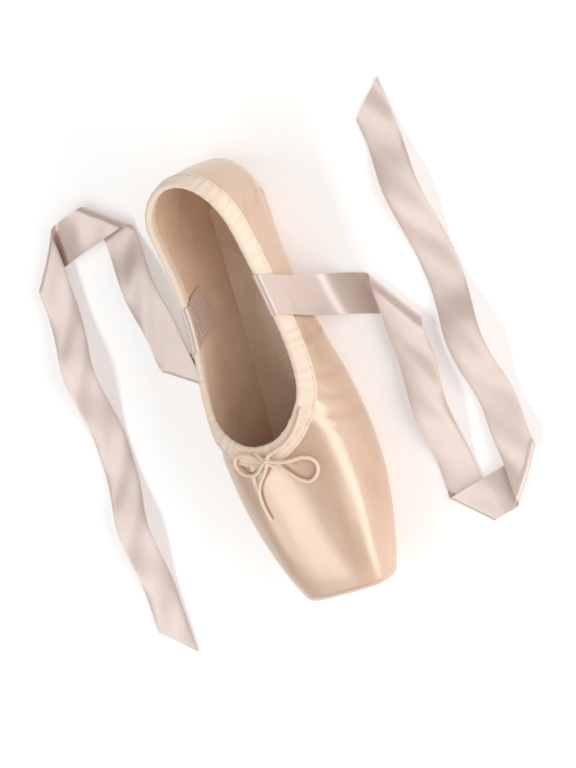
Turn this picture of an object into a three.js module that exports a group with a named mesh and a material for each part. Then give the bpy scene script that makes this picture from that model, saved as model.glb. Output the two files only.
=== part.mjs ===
// A pointe shoe at its real size, in millimetres: +Z up, toe towards -Y, standing on its sole at Z = 0.
// It is made on a straight last, so it fits either foot. The origin is on the floor under the ball.
// The satin upper is one hollow shell round the stiff toe box and the quarters, open at the collar and
// underneath, where the outsole closes it. Tape binds the collar, a thin drawstring is tied in a bow at
// the throat, and two ribbons are sewn inside the quarters and lie slack on the floor.

import * as THREE from "three";

// Driving dimensions of the last.
const LENGTH = 240;
const BALL_WIDTH = 84;
const INSTEP_HEIGHT = 56;
const SOLE_THICKNESS = 2.6;

// Clearance that neighbouring pieces keep.
const GAP = 0.32;

// Places along the shoe, measured from the platform towards the heel.
const BALL_AT = 78;
const THROAT_AT = 88;
const HEEL_ROUND_FROM = 204;

// The heel's back. In plan it is rounded by a power of the share of the way. Low down it tucks in under the
// foot as a quarter of an oval, and high up it leans forward as a square. Both grow over the last stretch.
const HEEL_ROUND_POWER = 2.4;
const HEEL_LEANS_OVER = 50;
const HEEL_TUCK = { below: 17, height: 14, depth: 9 };
const HEEL_LEAN = { above: 24, height: 33, depth: 5 };

// The platform: the flat oval tip on which the dancer stands.
const PLATFORM_EDGE_RADIUS = 3.6;
const PLATFORM_TILT = (4 * Math.PI) / 180;
const PLATFORM_MIDDLE_HEIGHT = 21.5;
const PLATFORM_TILT_FADES_AT = 60;

// Wall thicknesses of the upper: stiffened box, and satin with its lining.
const BOX_WALL = 3;
const QUARTER_WALL = 1.4;
const WALL_THINS_FROM = 62;
const WALL_THINS_TO = 86;

// The last, one row for each section. at: share of the length. width: half width, as a share of half the
// ball width. lift: the upper's underside above the outsole, in mm. wide: height of the widest place, in mm.
// top: crown, as a share of the instep height; behind the throat it lies above the open collar.
// low and high: how square the section is below and above its widest place.
const LAST = [
  { at: 0.0, width: 0.62, lift: 5.4, wide: 21.5, top: 0.625, low: 2.5, high: 3.1 },
  { at: 0.06, width: 0.745, lift: 3.3, wide: 21.5, top: 0.735, low: 2.6, high: 2.95 },
  { at: 0.14, width: 0.875, lift: 1.2, wide: 21.5, top: 0.835, low: 2.7, high: 2.75 },
  { at: 0.23, width: 0.972, lift: 0.15, wide: 21.5, top: 0.92, low: 3.0, high: 2.6 },
  { at: 0.31, width: 1.0, lift: 0.0, wide: 22.0, top: 0.975, low: 3.1, high: 2.5 },
  { at: 0.367, width: 0.995, lift: 0.0, wide: 22.5, top: 1.0, low: 3.1, high: 2.5 },
  { at: 0.46, width: 0.935, lift: 0.7, wide: 23.0, top: 1.06, low: 3.0, high: 2.5 },
  { at: 0.55, width: 0.835, lift: 2.3, wide: 23.5, top: 1.08, low: 2.9, high: 2.5 },
  { at: 0.65, width: 0.735, lift: 3.6, wide: 24.5, top: 1.05, low: 2.8, high: 2.5 },
  { at: 0.75, width: 0.685, lift: 2.4, wide: 25.5, top: 1.08, low: 2.8, high: 2.5 },
  { at: 0.85, width: 0.672, lift: 0.3, wide: 26.5, top: 1.17, low: 2.8, high: 2.5 },
  { at: 0.92, width: 0.672, lift: 0.0, wide: 27.0, top: 1.26, low: 2.8, high: 2.5 },
  { at: 1.0, width: 0.672, lift: 0.0, wide: 27.0, top: 1.31, low: 2.8, high: 2.5 },
];

// The collar, from the throat to the back of the heel. at: share of the way. angle: how far up the section
// the edge lies, in degrees, 90 at the crown and 0 at the widest place.
const COLLAR = [
  { at: 0.0, angle: 90 },
  { at: 0.08, angle: 77.5 },
  { at: 0.16, angle: 62.5 },
  { at: 0.25, angle: 44.5 },
  { at: 0.35, angle: 33 },
  { at: 0.45, angle: 29 },
  { at: 0.55, angle: 28.5 },
  { at: 0.65, angle: 30 },
  { at: 0.75, angle: 32.5 },
  { at: 0.87, angle: 35 },
  { at: 1.0, angle: 36 },
];

// Outlines of the plates, one row for each place. at: distance from the platform. half: half width, in mm.
const OUTSOLE = [
  { at: 24, half: 15 },
  { at: 34, half: 19 },
  { at: 48, half: 23.2 },
  { at: 66, half: 25.5 },
  { at: 86, half: 24 },
  { at: 108, half: 18.5 },
  { at: 130, half: 13.2 },
  { at: 152, half: 11.2 },
  { at: 174, half: 12.6 },
  { at: 196, half: 16.2 },
  { at: 214, half: 18 },
  { at: 234, half: 17 },
];
const INSOLE = [
  { at: 14, half: 13 },
  { at: 30, half: 16 },
  { at: 50, half: 22 },
  { at: 72, half: 27.5 },
  { at: 96, half: 26 },
  { at: 125, half: 21.5 },
  { at: 155, half: 17.5 },
  { at: 190, half: 16.5 },
  { at: 212, half: 16.5 },
  { at: 230, half: 16 },
];
const PLATE_END_ROUND = 14;
const INSOLE_THICKNESS = 1.6;
const INSOLE_SEAT = 0.6;
const OPENING_INSET = 6;
const OUTSOLE_FLAT_SHARE = 0.55;
const OUTSOLE_EDGE_CURL = 0.9;
const OUTSOLE_PRESSED_FLAT = 0.3;

// The tape round the collar.
const BINDING_THICKNESS = 0.9;
const BINDING_OUTSIDE = 8;
const BINDING_INSIDE = 6;
const BINDING_LEG_STEPS = 2;
const BEAD_STEPS = 4;

// The drawstring, tied over the binding at the throat. Each route is a list of places on the vamp,
// chosen by hand: x across the shoe, the distance from the platform, and the height over the satin.
const STRING_DIAMETER = 2;
const KNOT = { x: 0, distance: 81.5, height: 3.7, half: [2.9, 2.3, 2.0] };
const STRING_ROUTES = {
  loop_left: [
    [-3.3, 82.8, 3.7],
    [-7.6, 86.6, 3.4],
    [-13.0, 89.0, 3.2],
    [-18.0, 88.2, 3.0],
    [-20.2, 84.0, 2.9],
    [-18.8, 79.6, 2.4],
    [-14.0, 76.8, 1.7],
    [-8.8, 77.2, 2.3],
    [-3.4, 80.2, 3.5],
  ],
  loop_right: [
    [3.4, 81.2, 3.7],
    [8.0, 79.4, 3.3],
    [13.4, 78.6, 2.9],
    [18.8, 78.4, 2.3],
    [23.0, 76.4, 1.7],
    [24.8, 71.8, 1.4],
    [22.8, 67.2, 1.4],
    [18.4, 65.0, 1.4],
    [13.4, 67.4, 1.4],
    [9.2, 72.4, 1.6],
    [5.2, 76.8, 2.6],
    [2.6, 79.2, 3.4],
  ],
  end_left: [
    [-1.4, 78.6, 3.2],
    [-5.2, 75.4, 2.4],
    [-10.2, 71.4, 1.5],
    [-13.8, 66.6, 1.4],
    [-15.0, 61.0, 1.4],
    [-15.2, 55.4, 1.4],
    [-14.8, 50.6, 1.4],
  ],
  end_right: [
    [2.6, 84.2, 3.8],
    [7.2, 86.0, 3.4],
    [13.2, 87.6, 3.0],
    [19.0, 91.0, 2.9],
    [24.2, 96.6, 2.8],
    [28.2, 103.6, 2.7],
  ],
};

// The ribbons. Each is sewn inside a quarter, goes over the binding, hangs to the floor and lies there flat,
// turned at soft folds. side: 1 is +X. at: distance of its sewn end from the platform. slant: how far it
// heads towards the toe, in degrees. lands: where it meets the floor, in mm from the middle plane. A fold's
// or a wave's place is measured along the ribbon; a turn is in degrees, towards the heel when positive.
const RIBBON_WIDTH = 22;
const RIBBON_THICKNESS = 0.5;
const RIBBON_LENGTH = 490;
const RIBBON_SEWN = 27;
const RIBBON_CLEAR = 0.4;
const RIBBON_CUT = 0.7;
const RIBBONS = [
  {
    name: "ribbon_right",
    side: 1,
    at: 172,
    slant: 16,
    lands: 57,
    folds: [
      { at: 114, turn: -75, radius: 2.6 },
      { at: 234, turn: 104, radius: 2.4 },
      { at: 278, turn: 82, radius: 2.7 },
    ],
    waves: [
      { at: 174, length: 70, height: 7 },
      { at: 352, length: 80, height: 9 },
      { at: 438, length: 70, height: 5 },
    ],
  },
  {
    name: "ribbon_left",
    side: -1,
    at: 168,
    slant: 20,
    lands: 58,
    folds: [
      { at: 110, turn: 103, radius: 2.5 },
      { at: 212, turn: -95, radius: 2.6 },
      { at: 262, turn: -76, radius: 2.4 },
    ],
    waves: [
      { at: 166, length: 66, height: 6 },
      { at: 330, length: 84, height: 9 },
      { at: 424, length: 76, height: 7 },
    ],
  },
];

// Where a ribbon follows the shoe. Inside it lies flat on the lining at the first distances below the
// collar's edge, and then climbs over the tape. Outside it covers the tape and comes down to the satin.
// It leaves the shoe there and falls along a curve with two poles: the first is a little further out, at a
// share of the height, and the second a little further out again, on the floor.
const LINED_BELOW = [30, 23, 17, 11];
const TAPE_BELOW_INSIDE = 4.5;
const TAPE_BELOW_OUTSIDE = [4.5, 9];
const LEAVES_BELOW = 14;
const LEAVES_CLEAR = 0.5;
const FALL_FIRST_POLE = { further: 2, height: 0.45 };
const FALL_SECOND_POLE = { further: 4 };
const BACK_FURTHEST = 15;
const FRONT_FURTHEST = -45;
const BELOW_STEPS = 8;
const RIBBON_FIRST_BEND = 5;
const NORMAL_STEP = 0.02;

const FOLD_SETTLES_FROM = 18;
const FOLD_SETTLES_TO = 56;
const FOLD_STEPS = 6;
const COLLAR_BEND_STEPS = 6;
const FALL_STEPS = 6;
const RIBBON_COLUMNS = 2;
const RIBBON_STEP = 17;

// How finely each piece is cut up.
const CAP_ROWS = 2;
const EDGE_ROWS = 3;
const BOX_FRONT_ROWS = 3;
const BOX_OPENING_ROW = 4;
const BOX_ROWS = 6;
const QUARTER_ROWS = 24;
const GIRTH_STEPS = 14;
const PLATE_ROWS = 26;
const PLATE_COLUMNS = 4;
const STRING_SIDES = 8;
const LENGTH_SAMPLES = 60;
const KNOT_SIDES = 12;
const KNOT_RINGS = 8;

// Steps for slopes, how near the middle line a normal has no sideways part, and how finely points merge.
const DERIVATIVE_STEP = 1e-4;
const MIDDLE_LINE = 20 * DERIVATIVE_STEP;
const MERGE_STEPS_IN_A_MM = 2000;

const degrees = (angle) => (angle * Math.PI) / 180;
const clamp = (value, low, high) => Math.min(Math.max(value, low), high);
const smooth = (from, to, value) => {
  const share = clamp((value - from) / (to - from), 0, 1);
  return share * share * (3 - 2 * share);
};

// The value of one column of a table at a place, on a smooth curve through the rows.
function column(table, name, at) {
  const slope = (k) => {
    const before = table[Math.max(k - 1, 0)];
    const after = table[Math.min(k + 1, table.length - 1)];
    return (after[name] - before[name]) / (after.at - before.at);
  };
  const place = clamp(at, table[0].at, table[table.length - 1].at);
  let k = 0;
  while (k < table.length - 2 && table[k + 1].at < place) k += 1;
  const low = table[k];
  const high = table[k + 1];
  const span = high.at - low.at;
  const t = (place - low.at) / span;
  return (
    low[name] * (1 + 2 * t) * (1 - t) * (1 - t) +
    high[name] * t * t * (3 - 2 * t) +
    slope(k) * span * t * (1 - t) * (1 - t) +
    slope(k + 1) * span * t * t * (t - 1)
  );
}

// A row number says where along the shoe a section lies: 0 is the middle of the platform, 1 its edge,
// 2 the end of the edge's rounding, 3 the throat and 4 the back of the heel.
function section(row) {
  const rounding = (clamp(row - 1, 0, 1) * Math.PI) / 2;
  let distance = PLATFORM_EDGE_RADIUS * (1 - Math.cos(rounding));
  if (row > 2) distance += (Math.min(row, 3) - 2) * (THROAT_AT - PLATFORM_EDGE_RADIUS);
  if (row > 3) distance += (LENGTH - THROAT_AT) * Math.sin(((row - 3) * Math.PI) / 2);
  const inset = PLATFORM_EDGE_RADIUS * (1 - Math.sin(rounding));
  const share = distance / LENGTH;
  const heel = clamp((distance - HEEL_ROUND_FROM) / (LENGTH - HEEL_ROUND_FROM), 0, 1);
  return {
    distance,
    scale: Math.min(row, 1),
    width: (column(LAST, "width", share) * BALL_WIDTH) / 2 * Math.sqrt(1 - heel ** HEEL_ROUND_POWER) - inset,
    bottom: SOLE_THICKNESS + GAP + column(LAST, "lift", share) + inset,
    wide: column(LAST, "wide", share),
    top: column(LAST, "top", share) * INSTEP_HEIGHT - inset,
    low: column(LAST, "low", share),
    high: column(LAST, "high", share),
  };
}

// The row number of a place in the box or the quarters, from its distance to the platform.
function rowAt(distance) {
  if (distance <= THROAT_AT) {
    return 2 + (distance - PLATFORM_EDGE_RADIUS) / (THROAT_AT - PLATFORM_EDGE_RADIUS);
  }
  return 3 + (Math.asin(Math.min((distance - THROAT_AT) / (LENGTH - THROAT_AT), 1)) * 2) / Math.PI;
}

// How far a point moves along Y: the tilt of the platform, and the curve of the heel's back, which tucks
// in under the foot and leans forward at the collar.
function lean(distance, height) {
  const tilt = 1 - smooth(PLATFORM_EDGE_RADIUS, PLATFORM_TILT_FADES_AT, distance);
  const heel = smooth(LENGTH - HEEL_LEANS_OVER, LENGTH, distance);
  const tuck = clamp((HEEL_TUCK.below - height) / HEEL_TUCK.height, 0, 1);
  const above = Math.max(height - HEEL_LEAN.above, 0) / HEEL_LEAN.height;
  return (
    -(height - PLATFORM_MIDDLE_HEIGHT) * Math.tan(PLATFORM_TILT) * tilt -
    heel * (HEEL_TUCK.depth * (1 - Math.sqrt(1 - tuck * tuck)) + HEEL_LEAN.depth * above * above)
  );
}

// A point of the upper's outside. The angle goes up one side of the section: -90 degrees is the middle of
// the underside, 0 the widest place and 90 the crown.
function lastPoint(row, angle) {
  const s = section(row);
  const up = angle > 0;
  const power = 2 / (up ? s.high : s.low);
  const x = s.width * Math.abs(Math.cos(angle)) ** power * s.scale;
  const reach = Math.abs(Math.sin(angle)) ** power;
  let z = up ? s.wide + (s.top - s.wide) * reach : s.wide - (s.wide - s.bottom) * reach;
  const middle = (s.top + s.bottom) / 2;
  z = middle + (z - middle) * s.scale;
  return new THREE.Vector3(x, s.distance - BALL_AT + lean(s.distance, z), z);
}

// The outward normal there. On the middle line it has no sideways part, and the platform is flat.
function lastNormal(row, angle) {
  const h = DERIVATIVE_STEP;
  const r = clamp(row, 1 + h, 4 - h);
  const a = clamp(angle, -Math.PI / 2 + MIDDLE_LINE, Math.PI / 2 - MIDDLE_LINE);
  if (row <= 1) return new THREE.Vector3(0, -Math.cos(PLATFORM_TILT), -Math.sin(PLATFORM_TILT));
  const along = lastPoint(r + h, a).sub(lastPoint(r - h, a));
  const round = lastPoint(r, a + h).sub(lastPoint(r, a - h));
  const normal = along.cross(round).normalize();
  if (Math.abs(angle) > Math.PI / 2 - MIDDLE_LINE || row > 4 - h) normal.x = 0;
  return normal.normalize();
}

function wallAt(row) {
  return BOX_WALL + (QUARTER_WALL - BOX_WALL) * smooth(WALL_THINS_FROM, WALL_THINS_TO, section(row).distance);
}

// A point at a height over the outside of the upper, or at a depth inside it when the height is negative.
function raised(row, angle, height) {
  return lastPoint(row, angle).addScaledVector(lastNormal(row, angle), height);
}

// The collar's edge as a row number and an angle. share: 0 at the throat and 1 at the back of the heel.
function collarAt(share) {
  const along = (2 / Math.PI) * Math.asin(Math.sin((share * Math.PI) / 2) ** 2);
  return { row: 3 + along, angle: degrees(column(COLLAR, "angle", share)) };
}

// Half the width of a plate with rounded ends, at a share of the way along it.
function plateHalf(table, share) {
  const first = table[0].at;
  const last = table[table.length - 1].at;
  const distance = first + (last - first) * share;
  const end = clamp(Math.min(distance - first, last - distance) / PLATE_END_ROUND, 0, 1);
  return { distance, half: column(table, "half", distance) * Math.sqrt(1 - (1 - end) ** 2) };
}

// The angle on the underside of a section at a half width.
function angleUnder(row, half) {
  const s = section(row);
  return -Math.acos(clamp(half / s.width, 0, 1) ** (s.low / 2));
}

// Where the upper's lower edge lies: in the middle of the underside, or at the edge of its opening.
function lowerEdge(row) {
  const { distance } = section(row);
  const first = OUTSOLE[0].at + OPENING_INSET;
  const last = OUTSOLE[OUTSOLE.length - 1].at - OPENING_INSET;
  if (distance <= first || distance >= last) return -Math.PI / 2;
  const { half } = plateHalf(OUTSOLE, (distance - OUTSOLE[0].at) / (last + OPENING_INSET - OUTSOLE[0].at));
  return half > OPENING_INSET ? angleUnder(row, half - OPENING_INSET) : -Math.PI / 2;
}

// One closed mesh from triangles of points: points that meet are merged, and empty triangles dropped.
function closedMesh(triangles) {
  const index = new Map();
  const points = [];
  const faces = [];
  const number = (point) => {
    const key = [point.x, point.y, point.z].map((v) => Math.round(v * MERGE_STEPS_IN_A_MM)).join();
    if (!index.has(key)) {
      index.set(key, points.length / 3);
      points.push(point.x, point.y, point.z);
    }
    return index.get(key);
  };
  for (const triangle of triangles) {
    const [a, b, c] = triangle.map(number);
    if (a !== b && b !== c && c !== a) faces.push(a, b, c);
  }
  const geometry = new THREE.BufferGeometry();
  geometry.setAttribute("position", new THREE.Float32BufferAttribute(points, 3));
  geometry.setIndex(faces);
  geometry.computeVertexNormals();
  return geometry;
}

const mirrored = (point) => new THREE.Vector3(-point.x, point.y, point.z);
const quad = (a, b, c, d) => [
  [a, b, c],
  [a, c, d],
];

// The mirror image of triangles across the shoe's middle plane, facing out again.
const otherHalf = (triangles) => triangles.map(([a, b, c]) => [mirrored(c), mirrored(b), mirrored(a)]);

// Where the rows of the box lie. One is at the front of the opening underneath, and one just behind it.
function boxDistances() {
  const opening = OUTSOLE[0].at + OPENING_INSET;
  const behind = opening + BOX_OPENING_ROW;
  const distances = [];
  for (let i = 0; i < BOX_FRONT_ROWS; i += 1) {
    distances.push(PLATFORM_EDGE_RADIUS + ((opening - PLATFORM_EDGE_RADIUS) * i) / BOX_FRONT_ROWS);
  }
  distances.push(opening);
  for (let i = 0; i < BOX_ROWS; i += 1) distances.push(behind + ((THROAT_AT - behind) * i) / BOX_ROWS);
  return distances;
}

// The upper: an outside and an inside grid from the lower edge to the collar, joined along both edges.
function makeUpper() {
  const rows = [];
  for (let i = 0; i < CAP_ROWS; i += 1) rows.push({ row: i / CAP_ROWS, upper: Math.PI / 2 });
  for (let i = 0; i < EDGE_ROWS; i += 1) rows.push({ row: 1 + i / EDGE_ROWS, upper: Math.PI / 2 });
  for (const distance of boxDistances()) rows.push({ row: rowAt(distance), upper: Math.PI / 2 });
  for (let i = 0; i <= QUARTER_ROWS; i += 1) {
    const edge = collarAt(i / QUARTER_ROWS);
    rows.push({ row: edge.row, upper: edge.angle });
  }
  const grid = rows.map(({ row, upper }) => {
    const lower = lowerEdge(row);
    const wall = wallAt(row);
    const angles = evenAngles(row, lower, upper, GIRTH_STEPS);
    return {
      open: { low: lower > -Math.PI / 2, high: upper < Math.PI / 2 },
      outside: angles.map((angle) => lastPoint(row, angle)),
      inside: angles.map((angle) => raised(row, angle, -wall)),
    };
  });
  const half = [];
  for (let i = 0; i < grid.length - 1; i += 1) {
    const [near, far] = [grid[i], grid[i + 1]];
    const top = GIRTH_STEPS;
    for (let j = 0; j < GIRTH_STEPS; j += 1) {
      half.push(...quad(near.outside[j], far.outside[j], far.outside[j + 1], near.outside[j + 1]));
      half.push(...quad(near.inside[j], near.inside[j + 1], far.inside[j + 1], far.inside[j]));
    }
    if (near.open.high || far.open.high) {
      half.push(...quad(near.outside[top], far.outside[top], far.inside[top], near.inside[top]));
    }
    if (near.open.low || far.open.low) {
      half.push(...quad(far.outside[0], near.outside[0], near.inside[0], far.inside[0]));
    }
  }
  return closedMesh([...half, ...otherHalf(half)]);
}

// Angles between two edges of a section, the same distance apart along it.
function evenAngles(row, lower, upper, steps) {
  const at = Math.max(row, 1);
  const samples = [];
  for (let i = 0; i <= LENGTH_SAMPLES; i += 1) {
    const angle = lower + ((upper - lower) * (1 - Math.cos((Math.PI * i) / LENGTH_SAMPLES))) / 2;
    const point = lastPoint(at, angle);
    const before = samples[i - 1];
    samples.push({ angle, point, far: before ? before.far + before.point.distanceTo(point) : 0 });
  }
  const total = samples[LENGTH_SAMPLES].far;
  const angles = [];
  let k = 1;
  for (let j = 0; j <= steps; j += 1) {
    const wanted = (total * j) / steps;
    while (k < LENGTH_SAMPLES && samples[k].far < wanted) k += 1;
    const [low, high] = [samples[k - 1], samples[k]];
    const share = high.far > low.far ? (wanted - low.far) / (high.far - low.far) : 0;
    angles.push(low.angle + (high.angle - low.angle) * clamp(share, 0, 1));
  }
  return angles;
}

// The outsole's underside: flat under the ball and the heel, raised at the toe and the waist.
function soleFloor(row, across) {
  const lift = Math.max(column(LAST, "lift", section(row).distance / LENGTH) - OUTSOLE_PRESSED_FLAT, 0);
  return lift + OUTSOLE_EDGE_CURL * smooth(OUTSOLE_FLAT_SHARE, 1, across) ** 2;
}

// A plate under or in the shoe: a grid in a rounded outline, with its two faces worked out by functions of
// the row, the half width and the share across.
function plate(table, upperFace, lowerFace) {
  const grid = [];
  for (let i = 0; i <= PLATE_ROWS; i += 1) {
    const share = (1 - Math.cos((Math.PI * i) / PLATE_ROWS)) / 2;
    const { distance, half } = plateHalf(table, share);
    const row = rowAt(distance);
    const cells = [];
    for (let j = 0; j <= PLATE_COLUMNS; j += 1) {
      const across = j / PLATE_COLUMNS;
      cells.push({ high: upperFace(row, half * across, across), low: lowerFace(row, half * across, across) });
    }
    grid.push(cells);
  }
  const faces = [];
  for (let i = 0; i < PLATE_ROWS; i += 1) {
    const [near, far] = [grid[i], grid[i + 1]];
    for (let j = 0; j < PLATE_COLUMNS; j += 1) {
      faces.push(...quad(near[j].high, near[j + 1].high, far[j + 1].high, far[j].high));
      faces.push(...quad(near[j].low, far[j].low, far[j + 1].low, near[j + 1].low));
    }
    const edge = PLATE_COLUMNS;
    faces.push(...quad(near[edge].high, near[edge].low, far[edge].low, far[edge].high));
  }
  for (const [cells, turned] of [[grid[0], false], [grid[PLATE_ROWS], true]]) {
    for (let j = 0; j < PLATE_COLUMNS; j += 1) {
      const wall = quad(cells[j].high, cells[j].low, cells[j + 1].low, cells[j + 1].high);
      faces.push(...(turned ? wall.map(([a, b, c]) => [c, b, a]) : wall));
    }
  }
  return closedMesh([...faces, ...otherHalf(faces)]);
}

function makeOutsole() {
  return plate(
    OUTSOLE,
    (row, half) => raised(row, angleUnder(row, half), GAP),
    (row, half, across) => {
      const over = raised(row, angleUnder(row, half), GAP);
      return new THREE.Vector3(over.x, over.y, soleFloor(row, across));
    },
  );
}

function makeInsole() {
  const depth = (row) => wallAt(row) + INSOLE_SEAT;
  return plate(
    INSOLE,
    (row, half) => raised(row, angleUnder(row, half), -depth(row) - INSOLE_THICKNESS),
    (row, half) => raised(row, angleUnder(row, half), -depth(row)),
  );
}

// The collar's edge and the place a distance below it, square to the edge and on the upper's surface.
function belowCollar(share, below) {
  const h = DERIVATIVE_STEP;
  const edge = collarAt(share);
  const [from, to] = [collarAt(clamp(share - h, 0, 1)), collarAt(clamp(share + h, 0, 1))];
  const byRow = lastPoint(Math.min(edge.row + h, 4), edge.angle)
    .sub(lastPoint(edge.row - h, edge.angle))
    .divideScalar(Math.min(edge.row + h, 4) - edge.row + h);
  const byAngle = lastPoint(edge.row, Math.min(edge.angle + h, Math.PI / 2))
    .sub(lastPoint(edge.row, edge.angle - h))
    .divideScalar(Math.min(edge.angle + h, Math.PI / 2) - edge.angle + h);
  const tangent = byRow
    .clone()
    .multiplyScalar(to.row - from.row)
    .addScaledVector(byAngle, to.angle - from.angle)
    .normalize();
  if (share === 0 || share === 1) tangent.set(share === 0 ? 1 : -1, 0, 0);
  const normal = lastNormal(edge.row, edge.angle);
  const outOfEdge = tangent.clone().cross(normal).normalize().multiplyScalar(-1);
  const [aa, ab, bb] = [byRow.dot(byRow), byRow.dot(byAngle), byAngle.dot(byAngle)];
  const [wa, wb] = [-byRow.dot(outOfEdge), -byAngle.dot(outOfEdge)];
  const size = aa * bb - ab * ab;
  const row = edge.row + (below * (wa * bb - wb * ab)) / size;
  const angle = edge.angle + (below * (wb * aa - wa * ab)) / size;
  return { row, angle, outOfEdge, normal };
}

// The binding: a folded tape that wraps the collar's edge all the way round.
function makeBinding() {
  const legs = BINDING_LEG_STEPS;
  const rings = [];
  for (let i = 0; i <= QUARTER_ROWS; i += 1) {
    const share = i / QUARTER_ROWS;
    const { row, angle } = collarAt(share);
    const wall = wallAt(row);
    const at = (below, height) => {
      const place = belowCollar(share, below);
      const point = raised(place.row, place.angle, height);
      if (i === 0 || i === QUARTER_ROWS) point.x = 0;
      return point;
    };
    const { outOfEdge, normal } = belowCollar(share, 0);
    const edge = lastPoint(row, angle);
    const offset = (out, up) => {
      const point = edge.clone().addScaledVector(normal, out).addScaledVector(outOfEdge, up);
      if (i === 0 || i === QUARTER_ROWS) point.x = 0;
      return point;
    };
    const ring = [];
    for (let k = legs; k >= 1; k -= 1) ring.push(at((BINDING_OUTSIDE * k) / legs, GAP + BINDING_THICKNESS));
    const bead = wall / 2 + GAP + BINDING_THICKNESS;
    for (let k = 0; k <= BEAD_STEPS; k += 1) {
      const turn = (Math.PI * k) / BEAD_STEPS;
      ring.push(offset(-wall / 2 + bead * Math.cos(turn), bead * Math.sin(turn)));
    }
    for (let k = 1; k <= legs; k += 1) {
      ring.push(at((BINDING_INSIDE * k) / legs, -wall - GAP - BINDING_THICKNESS));
    }
    for (let k = legs; k >= 1; k -= 1) ring.push(at((BINDING_INSIDE * k) / legs, -wall - GAP));
    ring.push(offset(-wall - GAP, GAP), offset(GAP, GAP));
    for (let k = 1; k <= legs; k += 1) ring.push(at((BINDING_OUTSIDE * k) / legs, GAP));
    rings.push(ring);
  }
  const faces = [];
  for (let i = 0; i < QUARTER_ROWS; i += 1) {
    const [near, far] = [rings[i], rings[i + 1]];
    near.forEach((_, k) => {
      const next = (k + 1) % near.length;
      faces.push(...quad(near[k], far[k], far[next], near[next]));
    });
  }
  return closedMesh([...faces, ...otherHalf(faces)]);
}

// A point over the vamp, at a place across the shoe and a height over the satin.
function onVamp([x, distance, height]) {
  const row = rowAt(distance);
  const s = section(row);
  const angle = Math.acos(clamp(Math.abs(x) / s.width, 0, 1) ** (s.high / 2));
  const point = raised(row, angle, height);
  if (x < 0) point.x = -point.x;
  return point;
}

// A stretch of the drawstring: a round section along a smooth curve through its route.
function makeString(route) {
  const curve = new THREE.CatmullRomCurve3(route.map(onVamp), false, "centripetal");
  const steps = Math.ceil(curve.getLength() / (2 * STRING_DIAMETER));
  const round = new THREE.Shape();
  for (let k = 0; k < STRING_SIDES; k += 1) {
    const turn = (2 * Math.PI * k) / STRING_SIDES;
    const [x, y] = [(STRING_DIAMETER / 2) * Math.cos(turn), (STRING_DIAMETER / 2) * Math.sin(turn)];
    if (k === 0) round.moveTo(x, y);
    else round.lineTo(x, y);
  }
  round.closePath();
  return new THREE.ExtrudeGeometry(round, { extrudePath: curve, steps, bevelEnabled: false });
}

function makeKnot() {
  const knot = new THREE.SphereGeometry(1, KNOT_SIDES, KNOT_RINGS);
  knot.scale(...KNOT.half);
  const place = onVamp([KNOT.x, KNOT.distance, KNOT.height]);
  knot.translate(place.x, place.y, place.z);
  return knot;
}

// The angle a length below another one, down the same section.
function angleBelow(row, angle, length) {
  let at = angle;
  for (let k = 0; k < BELOW_STEPS; k += 1) {
    const h = DERIVATIVE_STEP;
    const speed = lastPoint(row, at + h).distanceTo(lastPoint(row, at - h)) / (2 * h);
    at -= length / BELOW_STEPS / speed;
  }
  return at;
}

// A ribbon's way in the shoe's section at a distance from the platform: up the lining, round the binding's
// bead and down the satin. Its points hold x, z and far, the length from the top of the bead. Then it falls
// along a curve to the floor.
function ribbonWay(ribbon, distance) {
  const share = (2 / Math.PI) * Math.asin(Math.sqrt((distance - THROAT_AT) / (LENGTH - THROAT_AT)));
  const { row, angle } = collarAt(share);
  const wall = wallAt(row);
  const clear = RIBBON_CLEAR + RIBBON_THICKNESS / 2;
  const tape = GAP + BINDING_THICKNESS;
  const line = [];
  const follow = (below, height) => line.push(raised(row, angleBelow(row, angle, below), height));
  for (const below of LINED_BELOW) follow(below, -wall - GAP - clear);
  follow(TAPE_BELOW_INSIDE, -wall - tape - clear);
  const { outOfEdge, normal } = belowCollar(share, 0);
  const radius = wall / 2 + tape + clear;
  const middle = lastPoint(row, angle).addScaledVector(normal, -wall / 2);
  for (let k = 0; k <= COLLAR_BEND_STEPS; k += 1) {
    const turn = Math.PI * (1 - k / COLLAR_BEND_STEPS);
    const out = normal.clone().multiplyScalar(radius * Math.cos(turn));
    line.push(middle.clone().add(out).addScaledVector(outOfEdge, radius * Math.sin(turn)));
  }
  const top = line.length - 1 - COLLAR_BEND_STEPS / 2;
  for (const below of TAPE_BELOW_OUTSIDE) follow(below, tape + clear);
  follow(LEAVES_BELOW, clear + LEAVES_CLEAR);
  const points = line.map(({ x, z }) => ({ x, z }));
  points.forEach((point, k) => {
    const before = points[k - 1];
    point.far = k ? before.far + Math.hypot(point.x - before.x, point.z - before.z) : 0;
  });
  const start = points[top].far;
  for (const point of points) point.far -= start;
  const last = points[points.length - 1];
  const floor = GAP + RIBBON_THICKNESS / 2;
  const fall = new THREE.CubicBezierCurve(
    new THREE.Vector2(last.x, last.z),
    new THREE.Vector2(last.x + FALL_FIRST_POLE.further, last.z * FALL_FIRST_POLE.height),
    new THREE.Vector2(last.x + FALL_SECOND_POLE.further, floor),
    new THREE.Vector2(ribbon.lands, floor),
  );
  return { points, fall, wallFar: last.far };
}

// How far a ribbon has come from the top of the bead where it meets the floor.
function ribbonReach(ribbon) {
  const way = ribbonWay(ribbon, ribbon.at - RIBBON_SEWN * Math.sin(degrees(ribbon.slant)));
  return way.wallFar + way.fall.getLength();
}

// The direction of a fold's crease in the flat ribbon. Each fold before it has turned the ribbon's other
// side up, so every second turn is the other way round there.
function creaseDirection(ribbon, n) {
  return degrees(ribbon.folds[n].turn / 2) * (n % 2 === 0 ? 1 : -1);
}

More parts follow.
